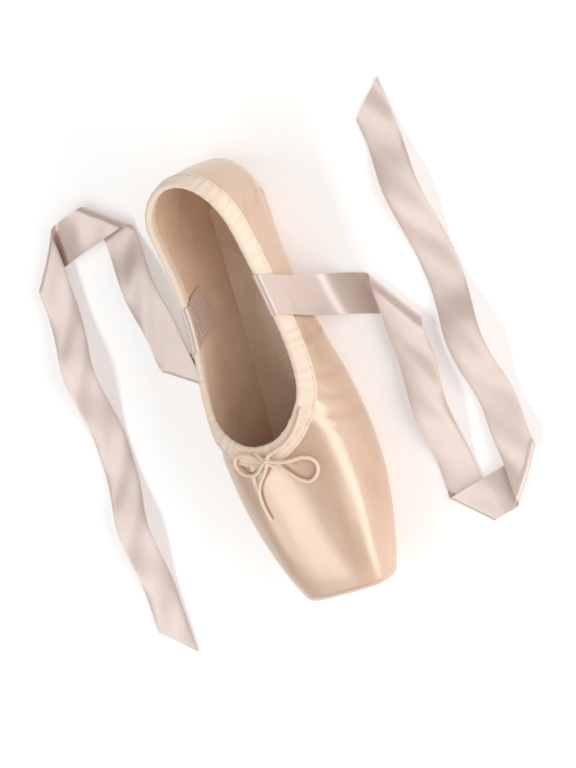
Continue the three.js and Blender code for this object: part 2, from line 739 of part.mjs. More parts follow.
// The side of a crease on which the ribbon goes on, as a direction in the flat ribbon.
function foldSide(ribbon, n) {
  const crease = creaseDirection(ribbon, n);
  const side = crease - (Math.sign(crease) * Math.PI) / 2;
  return [Math.cos(side), Math.sin(side)];
}

// A point of the flat ribbon after its folds: a runs along the ribbon as sewn, b across it and h is the
// height. A fold bends the ribbon round half a circle, over itself, and what follows lies mirrored.
function folded(ribbon, along, across, station) {
  const flat = { a: along, b: across, h: 0 };
  for (let n = ribbon.folds.length - 1; n >= 0; n -= 1) {
    const { at, radius } = ribbon.folds[n];
    const [ma, mb] = foldSide(ribbon, n);
    const sense = n % 2 === 0 ? 1 : -1;
    const band = Math.PI * radius;
    const past = (along - at) * ma + across * mb + band / 2;
    if (past <= 0) continue;
    const q = (flat.a - at) * ma + flat.b * mb + band / 2;
    const bent = past < band;
    const now = bent ? radius * Math.sin(q / radius) : band - q;
    flat.a += (now - q) * ma;
    flat.b += (now - q) * mb;
    flat.h = bent ? sense * radius * (1 - Math.cos(q / radius)) : sense * 2 * radius - flat.h;
  }
  for (const { at, radius } of ribbon.folds) {
    flat.h -= 2 * radius * smooth(at + FOLD_SETTLES_FROM, at + FOLD_SETTLES_TO, station);
  }
  for (const { at, length, height } of ribbon.waves) {
    flat.h += height * Math.sin(Math.PI * clamp((station - at) / length + 0.5, 0, 1)) ** 2;
  }
  return flat;
}

// Where a point of the ribbon's middle layer lies. A station is a place along the ribbon, and skew how much
// further along the straight line across the ribbon is for each mm to the side.
function ribbonPoint(ribbon, reach, { station, skew }, across) {
  const flat = folded(ribbon, station + skew * across, across, station);
  const slant = degrees(ribbon.slant);
  const out = -RIBBON_SEWN + flat.a * Math.cos(slant) + flat.b * Math.sin(slant);
  const back = -flat.a * Math.sin(slant) + flat.b * Math.cos(slant);
  const way = ribbonWay(ribbon, ribbon.at + clamp(back, FRONT_FURTHEST, BACK_FURTHEST));
  const place = { x: ribbon.lands + out - reach, z: GAP + RIBBON_THICKNESS / 2 };
  if (out < way.wallFar) {
    let k = 1;
    while (way.points[k].far < out) k += 1;
    const [low, high] = [way.points[k - 1], way.points[k]];
    const share = (out - low.far) / (high.far - low.far);
    place.x = low.x + (high.x - low.x) * share;
    place.z = low.z + (high.z - low.z) * share;
  } else if (out < reach) {
    const point = way.fall.getPointAt((out - way.wallFar) / (reach - way.wallFar));
    place.x = point.x;
    place.z = point.y;
  }
  return new THREE.Vector3(ribbon.side * place.x, ribbon.at + back - BALL_AT, place.z + flat.h);
}

// The straight lines across a ribbon that its mesh is built on: along the collar where it hangs, along each
// crease, and evenly spaced between them.
function ribbonRows(ribbon, reach) {
  const slant = degrees(ribbon.slant);
  const way = ribbonWay(ribbon, ribbon.at - RIBBON_SEWN * Math.sin(slant));
  const bends = way.points.map((point) => point.far).filter((far) => far > RIBBON_FIRST_BEND - RIBBON_SEWN);
  for (let k = 1; k <= FALL_STEPS; k += 1) bends.push(way.wallFar + ((reach - way.wallFar) * k) / FALL_STEPS);
  const rows = [{ station: 0, skew: 0 }];
  for (const out of bends) {
    rows.push({ station: (out + RIBBON_SEWN) / Math.cos(slant), skew: -Math.tan(slant) });
  }
  ribbon.folds.forEach((fold, n) => {
    const half = (Math.PI * fold.radius) / 2 / foldSide(ribbon, n)[0];
    for (let k = 0; k <= FOLD_STEPS; k += 1) {
      const station = fold.at + half * ((2 * k) / FOLD_STEPS - 1);
      rows.push({ station, skew: 1 / Math.tan(creaseDirection(ribbon, n)) });
    }
  });
  rows.push({ station: RIBBON_LENGTH, skew: RIBBON_CUT });
  const filled = [rows[0]];
  for (const row of rows.slice(1)) {
    const before = filled[filled.length - 1];
    const steps = Math.ceil((row.station - before.station) / RIBBON_STEP);
    for (let k = 1; k <= steps; k += 1) {
      const share = k / steps;
      filled.push({
        station: before.station + (row.station - before.station) * share,
        skew: before.skew + (row.skew - before.skew) * share,
      });
    }
  }
  return filled;
}

// A ribbon: two layers half the thickness from the middle one, joined round the edge.
function makeRibbon(ribbon) {
  const reach = ribbonReach(ribbon);
  const h = NORMAL_STEP;
  const grid = ribbonRows(ribbon, reach).map((row) => {
    const cells = [];
    for (let j = 0; j <= RIBBON_COLUMNS; j += 1) {
      const across = RIBBON_WIDTH * (j / RIBBON_COLUMNS - 0.5);
      const at = (further, wider) => {
        const moved = { station: row.station + further, skew: row.skew };
        return ribbonPoint(ribbon, reach, moved, across + wider);
      };
      const normal = at(h, 0).sub(at(-h, 0)).cross(at(0, h).sub(at(0, -h))).normalize();
      const middle = at(0, 0);
      const half = (ribbon.side * RIBBON_THICKNESS) / 2;
      cells.push({
        high: middle.clone().addScaledVector(normal, half),
        low: middle.clone().addScaledVector(normal, -half),
      });
    }
    return cells;
  });
  const faces = [];
  const last = RIBBON_COLUMNS;
  for (let i = 0; i < grid.length - 1; i += 1) {
    const [near, far] = [grid[i], grid[i + 1]];
    for (let j = 0; j < last; j += 1) {
      faces.push(...quad(near[j].high, far[j].high, far[j + 1].high, near[j + 1].high));
      faces.push(...quad(near[j].low, near[j + 1].low, far[j + 1].low, far[j].low));
    }
    faces.push(...quad(near[0].low, far[0].low, far[0].high, near[0].high));
    faces.push(...quad(near[last].high, far[last].high, far[last].low, near[last].low));
  }
  for (const [cells, turned] of [[grid[0], false], [grid[grid.length - 1], true]]) {
    for (let j = 0; j < last; j += 1) {
      const wall = quad(cells[j].high, cells[j + 1].high, cells[j + 1].low, cells[j].low);
      faces.push(...(turned ? wall.map(([a, b, c]) => [c, b, a]) : wall));
    }
  }
  return closedMesh(ribbon.side > 0 ? faces : faces.map(([a, b, c]) => [c, b, a]));
}

const finishes = {
  satin: new THREE.MeshStandardMaterial({ color: 0xe3c3ab, roughness: 0.35, metalness: 0 }),
  tape: new THREE.MeshStandardMaterial({ color: 0xf0dcc6, roughness: 0.8, metalness: 0 }),
  leather: new THREE.MeshStandardMaterial({ color: 0xc9a688, roughness: 0.85, metalness: 0 }),
  lining: new THREE.MeshStandardMaterial({ color: 0xe8d5c0, roughness: 0.9, metalness: 0 }),
  ribbon: new THREE.MeshStandardMaterial({ color: 0xe6cdc1, roughness: 0.35, metalness: 0 }),
  string: new THREE.MeshStandardMaterial({ color: 0xeed3b8, roughness: 0.75, metalness: 0 }),
};

const shoe = new THREE.Group();
function add(name, geometry, finish) {
  const mesh = new THREE.Mesh(geometry, finishes[finish]);
  mesh.name = name;
  shoe.add(mesh);
}

add("upper", makeUpper(), "satin");
add("outsole", makeOutsole(), "leather");
add("insole", makeInsole(), "lining");
add("collar_binding", makeBinding(), "tape");
add("drawstring_knot", makeKnot(), "string");
for (const [name, route] of Object.entries(STRING_ROUTES)) {
  add(`drawstring_${name}`, makeString(route), "string");
}
for (const ribbon of RIBBONS) add(ribbon.name, makeRibbon(ribbon), "ribbon");

export default shoe;
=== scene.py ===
"""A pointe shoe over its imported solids: satin upper, lining, tape, sole, drawstring bow and two ribbons.

Shapes are worked out in millimetres, on the same last as the solids, and put into meshes in metres. The toe
points to -Y, +Z is up, and a side is +1 for +X and -1 for -X.
"""

import logging
import math
from collections.abc import Callable
from dataclasses import dataclass
from enum import Enum
from functools import cache, reduce

import bmesh
import bpy
import numpy as np
from mathutils import Matrix, Vector


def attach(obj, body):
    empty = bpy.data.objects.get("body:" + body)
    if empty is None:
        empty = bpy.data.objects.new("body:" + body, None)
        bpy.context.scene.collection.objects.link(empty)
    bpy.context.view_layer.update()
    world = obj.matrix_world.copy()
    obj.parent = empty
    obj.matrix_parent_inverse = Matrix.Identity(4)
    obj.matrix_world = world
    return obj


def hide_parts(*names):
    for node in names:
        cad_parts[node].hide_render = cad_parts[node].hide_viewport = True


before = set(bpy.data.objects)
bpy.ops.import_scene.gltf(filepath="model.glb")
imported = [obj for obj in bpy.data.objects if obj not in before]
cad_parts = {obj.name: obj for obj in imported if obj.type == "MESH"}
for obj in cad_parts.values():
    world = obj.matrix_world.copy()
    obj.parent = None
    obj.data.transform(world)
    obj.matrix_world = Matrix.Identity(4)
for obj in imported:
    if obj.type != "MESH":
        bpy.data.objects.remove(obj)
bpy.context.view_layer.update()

Array = np.ndarray
Pair = tuple[float, float]
Triple = tuple[float, float, float]
Colour = Triple
Rows = tuple[tuple[float, ...], ...]
Piece = bpy.types.Object
Tree = bpy.types.NodeTree
Node = bpy.types.Node
Faces = Callable[[Array, Array, Array], tuple[Array, Array]]

MM = 0.001
BODY = "root"
SIDES = (1, -1)
CROWN = math.pi / 2
SHARP_FROM = math.radians(55)
NEARLY_UP = (0.02, 0.03, 1.0)  # No path runs along this direction.

# An uneven wave's sines, and how finely a route's curve is worked out.
RIPPLE_WAVES = 7
RIPPLE_STRETCH = (0.6, 1.7)
RIPPLE_PEAK = 1.3
ROUTE_STEPS = 24

# Limits: the least length of a vector, the middle plane's half width in mm, the share of the weld that a
# sliver may be, the weld of thread in mm, and how far inside a table's last entry places are read.
TINY = 1e-12
IN_MIDDLE = 1e-6
SLIVER_SHARE = 0.1
THREAD_WELD = 0.0005
JUST_INSIDE = 0.001

LOG = logging.getLogger("pointe_shoe")


class Slot(Enum):
    """The record's material slots."""

    SATIN = "satin"
    LEATHER = "sole_leather"
    LINING = "lining"
    TAPE = "tape"
    STRING = "string"
    RIBBON = "ribbon"


# Curves and meshes


def smooth(low: float, high: float, value: Array) -> Array:
    """An S-shaped step: 0 below low, 1 above high, and 3t^2 - 2t^3 between them.

    Args:
        low: where the step starts.
        high: where it ends.
        value: the places asked for.

    Returns:
        The height of the step at each place.
    """
    share = np.clip((np.asarray(value, float) - low) / (high - low), 0.0, 1.0)
    return share * share * (3.0 - 2.0 * share)


def unit(vectors: Array) -> Array:
    """Vectors of length one in the same directions."""
    return vectors / np.maximum(np.linalg.norm(vectors, axis=-1, keepdims=True), TINY)


def curve_through(places: Array, values: Array, at: Array) -> Array:
    """The value on a smooth curve through a table: cubic pieces whose slope at a row joins its neighbours.

    Args:
        places: the rows' places, rising.
        values: the rows' values.
        at: the places asked for.

    Returns:
        The curve's value at each place.
    """
    last = len(places) - 1
    rows = np.arange(last + 1)
    before, after = np.maximum(rows - 1, 0), np.minimum(rows + 1, last)
    slopes = (values[after] - values[before]) / (places[after] - places[before])
    place = np.clip(at, places[0], places[-1])
    low = np.clip(np.searchsorted(places, place, side="left") - 1, 0, last - 1)
    high = low + 1
    span = places[high] - places[low]
    t = (place - places[low]) / span
    return (
        values[low] * (1 + 2 * t) * (1 - t) ** 2
        + values[high] * t * t * (3 - 2 * t)
        + slopes[low] * span * t * (1 - t) ** 2
        + slopes[high] * span * t * t * (t - 1)
    )


def ripple(place: Array, seed: int, length: float) -> Array:
    """An uneven wave: a sum of sines whose lengths lie round a mean one, with seeded phases.

    Args:
        place: where along the wave, in mm.
        seed: which wave.
        length: the mean wave length, in mm.

    Returns:
        Heights of about -1 to 1.
    """
    draw = np.random.default_rng(seed)
    total = np.zeros_like(np.asarray(place, float))
    for _ in range(RIPPLE_WAVES):
        stretch, phase = draw.uniform(*RIPPLE_STRETCH), draw.uniform(0.0, math.tau)
        total = total + np.sin(np.asarray(place) * math.tau / (length * stretch) + phase)
    return total / math.sqrt(RIPPLE_WAVES) / RIPPLE_PEAK


def smooth_path(points: Array, spacing: float) -> Array:
    """Evenly spaced points of a centripetal curve through a route's points.

    Args:
        points: the route, in mm.
        spacing: the distance between the points that come back.

    Returns:
        Points of shape (count, 3).
    """
    ends = np.vstack([2 * points[0] - points[1], points, 2 * points[-1] - points[-2]])
    knots = np.r_[0.0, np.cumsum(np.sqrt(np.linalg.norm(np.diff(ends, axis=0), axis=1)))]
    count = len(points) - 1
    p = [ends[k : k + count, None, :] for k in range(4)]
    t = [knots[k : k + count, None, None] for k in range(4)]
    now = t[1] + (t[2] - t[1]) * np.linspace(0, 1, ROUTE_STEPS, endpoint=False)[None, :, None]

    def between(a: Array, b: Array, start: Array, end: Array) -> Array:
        """The point between two at this moment."""
        return (end - now) / (end - start) * a + (now - start) / (end - start) * b

    a = [between(p[k], p[k + 1], t[k], t[k + 1]) for k in range(3)]
    b = [between(a[k], a[k + 1], t[k], t[k + 2]) for k in range(2)]
    line = np.vstack([between(b[0], b[1], t[1], t[2]).reshape(-1, 3), points[-1]])
    far = lengths(line)
    return picked(line, far, np.linspace(0, far[-1], max(int(round(far[-1] / spacing)), 2) + 1))


def softened(values: Array, reach: int) -> Array:
    """Values averaged with their neighbours along the first axis, under a raised cosine, with the ends
    mirrored.

    Args:
        values: of shape (count, ...).
        reach: how many neighbours count on each side.

    Returns:
        The averages, of the same shape.
    """
    weights = 1 + np.cos(np.linspace(-math.pi, math.pi, 2 * reach + 3)[1:-1])
    padded = np.concatenate([values[reach:0:-1], values, values[-2 : -2 - reach : -1]])
    total = sum(weight * padded[k : k + len(values)] for k, weight in enumerate(weights))
    return total / weights.sum()


def grid_faces(rows: int, columns: int, wrap_rows: bool = False, wrap_columns: bool = False) -> Array:
    """Four-sided faces of a grid of points that are numbered row by row.

    Args:
        rows: the number of rows of points.
        columns: the number of points in each row.
        wrap_rows: the last row joins the first.
        wrap_columns: each row is a ring.

    Returns:
        Point numbers of shape (faces, 4).
    """
    last_row, last_column = rows - (not wrap_rows), columns - (not wrap_columns)
    i, j = np.meshgrid(np.arange(last_row), np.arange(last_column), indexing="ij")
    near, far = i * columns, ((i + 1) % rows) * columns
    following = (j + 1) % columns
    return np.stack([near + j, far + j, far + following, near + following], axis=-1).reshape(-1, 4)


def dot(a: Array, b: Array) -> Array:
    """Scalar products along the last axis."""
    return (a * b).sum(axis=-1)


def picked(values: Array, far: Array, at: Array) -> Array:
    """Vectors along a line, read at lengths along it.

    Args:
        values: of shape (count, parts).
        far: each one's length along the line.
        at: the lengths asked for.

    Returns:
        An array of shape (asked, parts).
    """
    return np.stack([np.interp(at, far, values[:, k]) for k in range(values.shape[1])], axis=1)


def lengths(path: Array) -> Array:
    """How far along a path each of its points lies, from 0. The path lies along the last axis but one."""
    steps = np.cumsum(np.linalg.norm(np.diff(path, axis=-2), axis=-1), axis=-1)
    return np.concatenate([np.zeros_like(steps[..., :1]), steps], axis=-1)


@dataclass
class Surface:
    """Points in mm, faces of four points, and what belongs to each point."""

    points: Array
    faces: Array
    uv: Array | None = None
    shade: Array | None = None

    @staticmethod
    def grid(
        points: Array, uv: Array | None = None, shade: Array | None = None, **wraps: bool
    ) -> "Surface":
        """A surface on a grid of points.

        Args:
            points: an array of shape (rows, columns, 3).
            uv: places on the cloth, of shape (rows, columns, 2).
            shade: a value for each point, such as how deep it lies in a crease, which the satin paints as
                shade.
            wraps: which way the grid closes on itself.

        Returns:
            The surface.
        """
        rows, columns = points.shape[:2]
        return Surface(
            points.reshape(-1, 3),
            grid_faces(rows, columns, **wraps),
            None if uv is None else uv.reshape(-1, 2),
            None if shade is None else shade.reshape(-1),
        )

    def joined(self, other: "Surface") -> "Surface":
        """This surface and another one as one mesh, with what belongs to the points where both have it."""
        pairs = ((self.uv, other.uv), (self.shade, other.shade))
        extras = [None if a is None or b is None else np.concatenate([a, b]) for a, b in pairs]
        faces = np.concatenate([self.faces, other.faces + len(self.points)])
        return Surface(np.concatenate([self.points, other.points]), faces, *extras)

    def without_twins(self) -> "Surface":
        """Leaves out the bands along an edge that both halves share, where a shell is closed: there a face
        and its mirror image lie in the middle plane and would wall the shell off."""
        twins = np.abs(self.points[self.faces][..., 0]).max(axis=1) < IN_MIDDLE
        return Surface(self.points, self.faces[~twins], self.uv, self.shade)

    def piece(self, name: str, finish: "Finish", weld: float = 0.004) -> Piece:
        """The surface as an object with its finish. Points that meet are merged, and faces look outwards.

        Args:
            name: the piece's name.
            finish: what it is made of.
            weld: how far apart merged points lie at most, in mm.

        Returns:
            The object, linked to the scene.
        """
        mesh = bpy.data.meshes.new(name)
        mesh.from_pydata(self.points * MM, [], self.faces.tolist())
        corner = np.empty(len(mesh.loops), np.int32)
        mesh.loops.foreach_get("vertex_index", corner)
        if self.uv is not None:
            layer = mesh.uv_layers.new(name="cloth")
            layer.data.foreach_set("uv", (self.uv[corner] * MM).ravel())
        if self.shade is not None:
            shade = mesh.attributes.new("shade", "FLOAT", "POINT")
            shade.data.foreach_set("value", self.shade.astype(np.float32))
        work = bmesh.new()
        work.from_mesh(mesh)
        bmesh.ops.remove_doubles(work, verts=work.verts, dist=weld * MM)
        bmesh.ops.dissolve_degenerate(work, edges=work.edges, dist=weld * MM * SLIVER_SHARE)
        bmesh.ops.recalc_face_normals(work, faces=work.faces)
        work.to_mesh(mesh)
        work.free()
        mesh.shade_smooth()
        mesh.set_sharp_from_angle(angle=SHARP_FROM)
        mesh.materials.append(finish.material())
        return linked(name, mesh)


def linked(name: str, data: bpy.types.ID) -> Piece:
    """An object with its data, linked to the scene."""
    made = bpy.data.objects.new(name, data)
    bpy.context.scene.collection.objects.link(made)
    return made


def layer(
    high: Array, low: Array, cloth: Array | None = None, shade: Array | None = None, ends: bool = True
) -> Surface:
    """A layer between two grids of points, with rims along its sides.

    Args:
        high: one face, of shape (rows, columns, 3).
        low: the other face.
        cloth: places on the cloth, of shape (rows, columns, 2).
        shade: a value for each point.
        ends: with rims across the ends too, for grids whose ends are neither points nor shared.

    Returns:
        The layer.
    """
    whole = Surface.grid(high, cloth, shade).joined(Surface.grid(low, cloth, shade))
    sides = [np.s_[:, 0], np.s_[:, -1]]
    for edge in sides + [np.s_[0], np.s_[-1]] * ends:
        pairs = ((high, low), (cloth, cloth), (shade, shade))
        rim = [None if a is None else np.stack([a[edge], b[edge]], axis=1) for a, b in pairs]
        whole = whole.joined(Surface.grid(*rim))
    return whole


def place(piece: Piece, slot: Slot, *replaced: str) -> Piece:
    """Lets a piece ride on the shoe.

    Args:
        piece: the piece.
        slot: its material slot.
        replaced: the solids that it stands for.

    Returns:
        The piece.
    """
    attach(piece, BODY)
    if replaced:
        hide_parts(*replaced)
    LOG.info("%s: %d faces, %s", piece.name, len(piece.data.polygons), slot.value)
    return piece


def tube(path: Array, radius: Array, sides: int, closed: bool = False) -> Surface:
    """A round tube along a path, with its ends closed.

    Each ring lies square to the path: radius times (cos a sideways + sin a upwards), where sideways is
    level and upwards is square to it and to the path.

    Args:
        path: points of shape (count, 3).
        radius: one radius, or an array of shape (count, sides).
        sides: points in each ring.
        closed: the path's end joins its start.

    Returns:
        The tube.
    """
    if closed:
        ahead = np.roll(path, -1, axis=0) - np.roll(path, 1, axis=0)
    else:
        ahead = np.gradient(path, axis=0)
    ahead = unit(ahead)
    aside = unit(np.cross(ahead, NEARLY_UP))
    above = np.cross(aside, ahead)
    turn = np.arange(sides) * math.tau / sides
    size = np.broadcast_to(np.asarray(radius, float), (len(path), sides)).copy()
    if not closed:
        far = lengths(path)
        near_end = np.clip(np.minimum(far, far[-1] - far) / size.mean(), 0, 1)
        size *= np.sqrt(1 - (1 - near_end) ** 2)[:, None]
    ring = np.cos(turn)[None, :, None] * aside[:, None] + np.sin(turn)[None, :, None] * above[:, None]
    return Surface.grid(path[:, None] + size[..., None] * ring, wrap_rows=closed, wrap_columns=True)


@dataclass(frozen=True)
class Stitch:
    """A short stitch of thread that arches out of the cloth: a bent spindle of rings with six sides."""

    length: float
    radius: float
    tip: float = 1.02
    arch: float = 1.5
    sunk: float = 0.9
    rings: int = 6
    sides: int = 6
    caps: Rows = ((0, 1, 2, 3), (0, 3, 4, 5))

    def sewn(self, middle: Array, along: Array, normal: Array) -> Surface:
        """Many of them. Along a stitch, t from -1 to 1, the arch rises as 1 - t^2 and thins as 1 - t^4.

        Args:
            middle: places on the cloth, of shape (count, 3).
            along: the direction of each stitch.
            normal: the cloth's outward normal there.

        Returns:
            All stitches as one surface.
        """
        t = np.linspace(-1, 1, self.rings)
        turn = np.arange(self.sides) * math.tau / self.sides
        along, normal = unit(along)[:, None], unit(normal)[:, None]
        across = np.cross(along, normal)
        thick = self.radius * np.sqrt(np.clip(self.tip - t**4, 0, 1))
        rise = self.radius * (self.arch * (1 - t * t) - self.sunk)
        centre = middle[:, None] + along * (t * self.length / 2)[None, :, None]
        centre = centre + normal * rise[None, :, None]
        ring = across * np.cos(turn)[None, :, None] + normal * np.sin(turn)[None, :, None]
        points = centre[:, :, None] + ring[:, None] * thick[None, :, None, None]
        caps = np.array(self.caps)
        faces = grid_faces(self.rings, self.sides, wrap_columns=True)
        faces = np.concatenate([faces, caps, caps + (self.rings - 1) * self.sides])
        starts = np.arange(len(middle)) * self.rings * self.sides
        return Surface(points.reshape(-1, 3), (faces[None] + starts[:, None, None]).reshape(-1, 4))


# The last

# One row for each section: share of the length, half width as a share of half the ball width, the
# underside's lift in mm, the height of the widest place in mm, the crown as a share of the instep height,
# and how square the section is below and above its widest place.
LAST_ROWS: Rows = (
    (0.0, 0.62, 5.4, 21.5, 0.625, 2.5, 3.1),
    (0.06, 0.745, 3.3, 21.5, 0.735, 2.6, 2.95),
    (0.14, 0.875, 1.2, 21.5, 0.835, 2.7, 2.75),
    (0.23, 0.972, 0.15, 21.5, 0.92, 3.0, 2.6),
    (0.31, 1.0, 0.0, 22.0, 0.975, 3.1, 2.5),
    (0.367, 0.995, 0.0, 22.5, 1.0, 3.1, 2.5),
    (0.46, 0.935, 0.7, 23.0, 1.06, 3.0, 2.5),
    (0.55, 0.835, 2.3, 23.5, 1.08, 2.9, 2.5),
    (0.65, 0.735, 3.6, 24.5, 1.05, 2.8, 2.5),
    (0.75, 0.685, 2.4, 25.5, 1.08, 2.8, 2.5),
    (0.85, 0.672, 0.3, 26.5, 1.17, 2.8, 2.5),
    (0.92, 0.672, 0.0, 27.0, 1.26, 2.8, 2.5),
    (1.0, 0.672, 0.0, 27.0, 1.31, 2.8, 2.5),
)

# The collar: share of the way from the throat to the back of the heel, and degrees up the section.
COLLAR_ROWS: Rows = (
    (0.0, 90.0), (0.08, 77.5), (0.16, 62.5), (0.25, 44.5), (0.35, 33.0), (0.45, 29.0), (0.55, 28.5),
    (0.65, 30.0), (0.75, 32.5), (0.87, 35.0), (1.0, 36.0),
)

# Plate outlines: distance from the platform and half the width there, in mm.
OUTSOLE_ROWS: Rows = (
    (24, 15), (34, 19), (48, 23.2), (66, 25.5), (86, 24), (108, 18.5), (130, 13.2), (152, 11.2),
    (174, 12.6), (196, 16.2), (214, 18), (234, 17),
)
INSOLE_ROWS: Rows = (
    (14, 13), (30, 16), (50, 22), (72, 27.5), (96, 26), (125, 21.5), (155, 17.5), (190, 16.5),
    (212, 16.5), (230, 16),
)


@dataclass(frozen=True)
class Sections:
    """The last's sections at an array of rows, in mm."""

    distance: Array
    scale: Array
    width: Array
    bottom: Array
    wide: Array
    top: Array
    low: Array
    high: Array


@dataclass(frozen=True)
class Last:
    """The shape that the upper is made on. A row number says where a section lies: 0 is the middle of the
    platform, 1 its edge, 2 the end of the edge's rounding, 3 the throat and 4 the back of the heel."""

    length: float = 240.0
    ball_width: float = 84.0
    instep_height: float = 56.0
    sole_thickness: float = 2.6
    gap: float = 0.32
    ball_at: float = 78.0
    throat_at: float = 88.0
    heel_round_from: float = 204.0
    platform_edge: float = 3.6
    platform_tilt: float = math.radians(4)
    platform_middle: float = 21.5
    tilt_fades_at: float = 60.0
    box_wall: float = 3.0
    quarter_wall: float = 1.4
    wall_thins_from: float = 62.0
    wall_thins_to: float = 86.0
    # The heel's back: its power, where it begins to lean, and its tuck below and lean above.
    heel_squareness: float = 2.4
    leans_before_round: float = 14.0
    tuck_below: float = 17.0
    tuck_over: float = 14.0
    tuck_depth: float = 9.0
    lean_above: float = 24.0
    lean_over: float = 33.0
    lean_depth: float = 5.0
    opening_inset: float = 6.0
    least_half: float = 0.01
    plate_end_round: float = 14.0
    band_at: float = math.radians(-36)
    band_share: float = 0.36
    samples: int = 201
    step: float = 1e-4
    pole: float = 2e-3
    searches: int = 8

    def sections(self, row: Array) -> Sections:
        """The sections at row numbers: table values on smooth curves, pulled in round the platform's edge
        by a quarter circle, and at the heel by the root of one less a power of the share."""
        row = np.asarray(row, float)
        table = np.array(LAST_ROWS)
        rounding = np.clip(row - 1, 0, 1) * math.pi / 2
        distance = self.platform_edge * (1 - np.cos(rounding))
        distance = distance + (np.clip(row, 2, 3) - 2) * (self.throat_at - self.platform_edge)
        distance = distance + (self.length - self.throat_at) * np.sin(np.clip(row - 3, 0, 1) * math.pi / 2)
        inset = self.platform_edge * (1 - np.sin(rounding))
        values = [curve_through(table[:, 0], table[:, k], distance / self.length) for k in range(1, 7)]
        heel = np.clip((distance - self.heel_round_from) / (self.length - self.heel_round_from), 0, 1)
        return Sections(
            distance=distance,
            scale=np.minimum(row, 1),
            width=values[0] * self.ball_width / 2 * np.sqrt(1 - heel**self.heel_squareness) - inset,
            bottom=self.sole_thickness + self.gap + values[1] + inset,
            wide=values[2],
            top=values[3] * self.instep_height - inset,
            low=values[4],
            high=values[5],
        )

    def row_at(self, distance: Array) -> Array:
        """The row numbers of places in the box or the quarters.

        Args:
            distance: from the platform, in mm.

        Returns:
            The row numbers.
        """
        distance = np.asarray(distance, float)
        box = 2 + (distance - self.platform_edge) / (self.throat_at - self.platform_edge)
        share = np.clip((distance - self.throat_at) / (self.length - self.throat_at), 0, 1)
        return np.where(distance <= self.throat_at, box, 3 + np.arcsin(share) * 2 / math.pi)

    def lean(self, distance: Array, height: Array) -> Array:
        """How far points move along Y: the platform's tilt, and the tuck and lean of the heel's back.

        Args:
            distance: from the platform, in mm.
            height: above the floor, in mm.

        Returns:
            The moves, in mm.
        """
        tilt = 1 - smooth(self.platform_edge, self.tilt_fades_at, distance)
        heel = smooth(self.heel_round_from - self.leans_before_round, self.length, distance)
        tuck = np.clip((self.tuck_below - height) / self.tuck_over, 0, 1)
        above = np.maximum(height - self.lean_above, 0) / self.lean_over
        bend = self.tuck_depth * (1 - np.sqrt(1 - tuck * tuck)) + self.lean_depth * above * above
        return -(height - self.platform_middle) * math.tan(self.platform_tilt) * tilt - heel * bend

    def point(self, row: Array, angle: Array) -> Array:
        """Points of the outside on the +X half. The section is a squared oval: x is the width times
        |cos a| to the power 2 / n, and z the height times |sin a| to the same power.

        Args:
            row: row numbers.
            angle: angles up the section.

        Returns:
            Points of shape (..., 3), in mm.
        """
        row, angle = np.broadcast_arrays(np.asarray(row, float), np.asarray(angle, float))
        s = self.sections(row)
        up = angle > 0
        power = 2 / np.where(up, s.high, s.low)
        x = s.width * np.abs(np.cos(angle)) ** power * s.scale
        reach = np.abs(np.sin(angle)) ** power
        z = np.where(up, s.wide + (s.top - s.wide) * reach, s.wide - (s.wide - s.bottom) * reach)
        middle = (s.top + s.bottom) / 2
        z = middle + (z - middle) * s.scale
        return np.stack([x, s.distance - self.ball_at + self.lean(s.distance, z), z], axis=-1)

    def normal(self, row: Array, angle: Array) -> Array:
        """The outward normals there, from the slopes along and round the shoe.

        Args:
            row: row numbers.
            angle: angles up the section.

        Returns:
            Directions of shape (..., 3).
        """
        row, angle = np.broadcast_arrays(np.asarray(row, float), np.asarray(angle, float))
        h, edge = self.step, CROWN - self.pole
        r, a = np.clip(row, 1 + h, 4 - h), np.clip(angle, -edge, edge)
        along = self.point(r + h, a) - self.point(r - h, a)
        normal = unit(np.cross(along, self.point(r, a + h) - self.point(r, a - h)))
        in_middle = (np.abs(angle) > edge) | (row > 4 - h)
        normal[..., 0] = np.where(in_middle, 0.0, normal[..., 0])
        tip = (0.0, -math.cos(self.platform_tilt), -math.sin(self.platform_tilt))
        return unit(np.where((row <= 1)[..., None], tip, normal))

    def thinned(self, row: Array) -> Array:
        """How far the upper's wall has thinned: 0 in the box and 1 in the quarters."""
        return smooth(self.wall_thins_from, self.wall_thins_to, self.sections(row).distance)

    def wall(self, row: Array) -> Array:
        """The upper's thickness: a stiff box in front, and satin with its lining behind."""
        return self.box_wall + (self.quarter_wall - self.box_wall) * self.thinned(row)

    def raised(self, row: Array, angle: Array, height: Array) -> Array:
        """A point at a height over the outside, or inside it where the height is negative."""
        return self.point(row, angle) + self.normal(row, angle) * np.asarray(height)[..., None]

    def collar(self, share: Array) -> tuple[Array, Array]:
        """The collar's edge.

        Args:
            share: shares of the way from the throat to the back of the heel.

        Returns:
            Row numbers and angles.
        """
        table = np.array(COLLAR_ROWS)
        along = 2 / math.pi * np.arcsin(np.sin(np.asarray(share) * math.pi / 2) ** 2)
        return 3 + along, np.radians(curve_through(table[:, 0], table[:, 1], share))

    def collar_share(self, distance: Array) -> Array:
        """The share of the collar's way at a distance from the platform."""
        reach = (np.asarray(distance, float) - self.throat_at) / (self.length - self.throat_at)
        return 2 / math.pi * np.arcsin(np.sqrt(np.clip(reach, 0, 1)))

    def plate_half(self, rows: Rows, share: Array) -> tuple[Array, Array]:
        """A plate's outline, with round ends.

        Args:
            rows: its table.
            share: shares of its length.

        Returns:
            The distances from the platform and the half widths there.
        """
        table = np.array(rows, float)
        first, last = table[0, 0], table[-1, 0]
        distance = first + (last - first) * np.asarray(share, float)
        end = np.clip(np.minimum(distance - first, last - distance) / self.plate_end_round, 0, 1)
        return distance, curve_through(table[:, 0], table[:, 1], distance) * np.sqrt(1 - (1 - end) ** 2)

